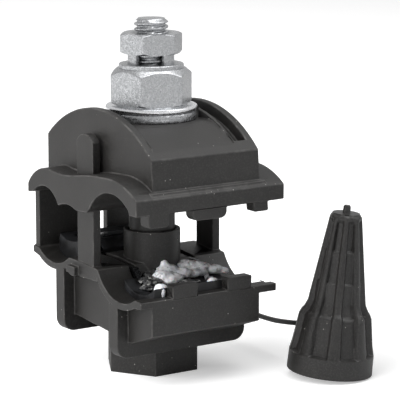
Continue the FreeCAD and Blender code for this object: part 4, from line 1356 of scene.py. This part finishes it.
@dataclass(frozen=True)
class Studio:
    """Camera, lamps and floor, in millimetres, degrees and watts."""

    camera_at: Point = (-300.64, -451.40, 140.55)
    camera_bearing: float = 34.856
    camera_pitch: float = 10.538
    lens: float = 211.94
    sensor: float = 36.0
    clip: Pair = (10.0, 20000.0)
    lamps: Tuple[SoftLamp, ...] = (
        SoftLamp("key", (-900.0, 150.0, 600.0), 1700.0, 36.0, lights_gloss=False),
        SoftLamp("top", (100.0, -100.0, 1100.0), 900.0, 6.0),
        SoftLamp("fill", (500.0, -600.0, 800.0), 1000.0, 5.0, lights_matt=False))
    aim: Point = (0.0, 0.0, 40.0)
    floor_side: float = 6000.0
    floor_colour: Colour = (0.86, 0.86, 0.86, 1.0)
    floor_rough: float = 0.9
    floor_shine: float = 0.1
    floor_glow: float = 0.42
    room_gloss: float = 0.6
    room_light: float = 0.03

    def build(self) -> None:
        """Set up the whole stage."""
        self._camera()
        for lamp in self.lamps:
            self._lamp(lamp)
        self._floor()
        self._world()
        bpy.context.scene.view_settings.view_transform = "Standard"

    def _camera(self) -> None:
        """Place the camera at the photograph's viewpoint."""
        data = bpy.data.cameras.new("camera")
        data.sensor_width = self.sensor
        data.lens = self.lens
        data.clip_start, data.clip_end = self.clip[0] * MM, self.clip[1] * MM
        camera = linked(bpy.data.objects.new("camera", data))
        camera.location = Vector(self.camera_at) * MM
        bearing, pitch = radians(self.camera_bearing), radians(self.camera_pitch)
        level = cos(pitch)
        ahead = Vector((sin(bearing) * level, cos(bearing) * level, -sin(pitch)))
        camera.rotation_euler = ahead.to_track_quat("-Z", "Y").to_euler()
        bpy.context.scene.camera = camera

    def _lamp(self, lamp: SoftLamp) -> None:
        """Add a lamp that faces the object.

        Args:
            lamp: What the lamp is like.
        """
        data = bpy.data.lights.new(lamp.name, "AREA")
        data.shape = "SQUARE"
        data.size = lamp.side * MM
        data.energy = lamp.power
        made = linked(bpy.data.objects.new(lamp.name, data))
        made.location = Vector(lamp.place) * MM
        made.rotation_euler = (Vector(self.aim) * MM - made.location).to_track_quat("-Z", "Y").to_euler()
        made.visible_glossy = lamp.lights_gloss
        made.visible_diffuse = lamp.lights_matt

    def _floor(self) -> None:
        """Add the pale floor, near white where the camera sees it."""
        half = self.floor_side / 2.0
        corners = [(-half, -half, 0.0), (half, -half, 0.0), (half, half, 0.0), (-half, half, 0.0)]
        floor = piece_from("floor", corners, [(0, 1, 2, 3)])
        material, wires, shader = blank_material("pale_floor")
        wires.fill(shader, Base_Color=self.floor_colour, Roughness=self.floor_rough,
                   Specular_IOR_Level=self.floor_shine)
        glow = wires.node("Emission")
        seen = wires.node("LightPath")
        strength = wires.maths("MULTIPLY", seen.outputs["Is Camera Ray"], self.floor_glow)
        wires.fill(glow, Color=WHITE, Strength=strength)
        both = wires.node("AddShader")
        wires.feed(shader.outputs["BSDF"], both.inputs[0])
        wires.feed(glow.outputs["Emission"], both.inputs[1])
        wires.feed(both.outputs["Shader"], material.node_tree.nodes["Material Output"].inputs["Surface"])
        floor.data.materials.append(material)

    def _world(self) -> None:
        """Light the room evenly and show it white to the camera and in gloss."""
        world = bpy.data.worlds.new("room")
        bpy.context.scene.world = world
        world.use_nodes = True
        wires = Wiring(world.node_tree)
        back = world.node_tree.nodes["Background"]
        seen = wires.node("LightPath")
        bright = wires.maths("ADD", seen.outputs["Is Camera Ray"], seen.outputs["Is Transmission Ray"], True)
        gloss = wires.maths("MULTIPLY", seen.outputs["Is Glossy Ray"], self.room_gloss)
        strength = wires.maths("ADD", wires.maths("MAXIMUM", bright, gloss), self.room_light)
        wires.fill(back, Color=WHITE, Strength=strength)


def main() -> None:
    """Build the stage, then every sub-assembly in order."""
    logging.basicConfig(level=logging.INFO, format="%(message)s")
    Studio().build()
    effects = Effects()
    jaw_plastic = MouldedPlastic("jaw_plastic_black").material(effects)
    # The cap gets less of the edge wear and painted highlight than the jaws.
    cap_plastic = MouldedPlastic("cap_plastic_black", wear_and_highlight=0.3, rough_low=0.36,
                                 rough_high=0.48).material(effects)
    nut_zinc = ZincPlate("nut_zinc_bright").material(effects)
    bolt_zinc = ZincPlate("bolt_zinc_bright", bump=0.12).material(effects)
    washer_rough = ZincPlate("washer_zinc_rough", bump=0.8, patch_scale=1800.0).material(effects)
    # Painted reflection: the dished washer's zinc is made far paler than the other zinc, standing in for the
    # room light that its rim reflects.
    washer_painted_reflection = ZincPlate("washer_zinc_painted_reflection", dark=(0.8, 0.81, 0.83, 1.0), light=(0.9, 0.91, 0.93, 1.0),
                              bump=0.1, rough_low=0.2, rough_high=0.3).material(effects)
    blade_metal = ZincPlate("blade_tinned", dark=(0.025, 0.025, 0.027, 1.0), light=(0.11, 0.112, 0.116, 1.0),
                            bump=0.4, rough_low=0.2, rough_high=0.4).material(effects)
    rubber = SealRubber("seal_rubber_black").material(effects)
    paste = ContactGrease("contact_grease_pale").material(effects)
    thin = ContactGrease("contact_grease_thin", clear=(0.012, 0.013, 0.014, 1.0),
                         milky=(0.05, 0.053, 0.058, 1.0), weight=0.0).material(effects)
    streaked = ContactGrease("contact_grease_streaked", clear=(0.008, 0.008, 0.009, 1.0),
                             milky=(0.1, 0.1, 0.1, 1.0), dusty=(0.9, 0.9, 0.86, 1.0), dust_scale=1500.0,
                             weight=0.0).material(effects)
    cap = EndCap().build(cap_plastic)
    Tether().build(cap_plastic, cap)
    Jaws().build(jaw_plastic)
    ClampBolt().build(bolt_zinc)
    ShearNut().build(nut_zinc)
    Washers().build(washer_rough, washer_painted_reflection)
    Contacts().build(blade_metal, rubber)
    Grease().build(paste, thin, streaked)


if __name__ == "__main__":
    main()
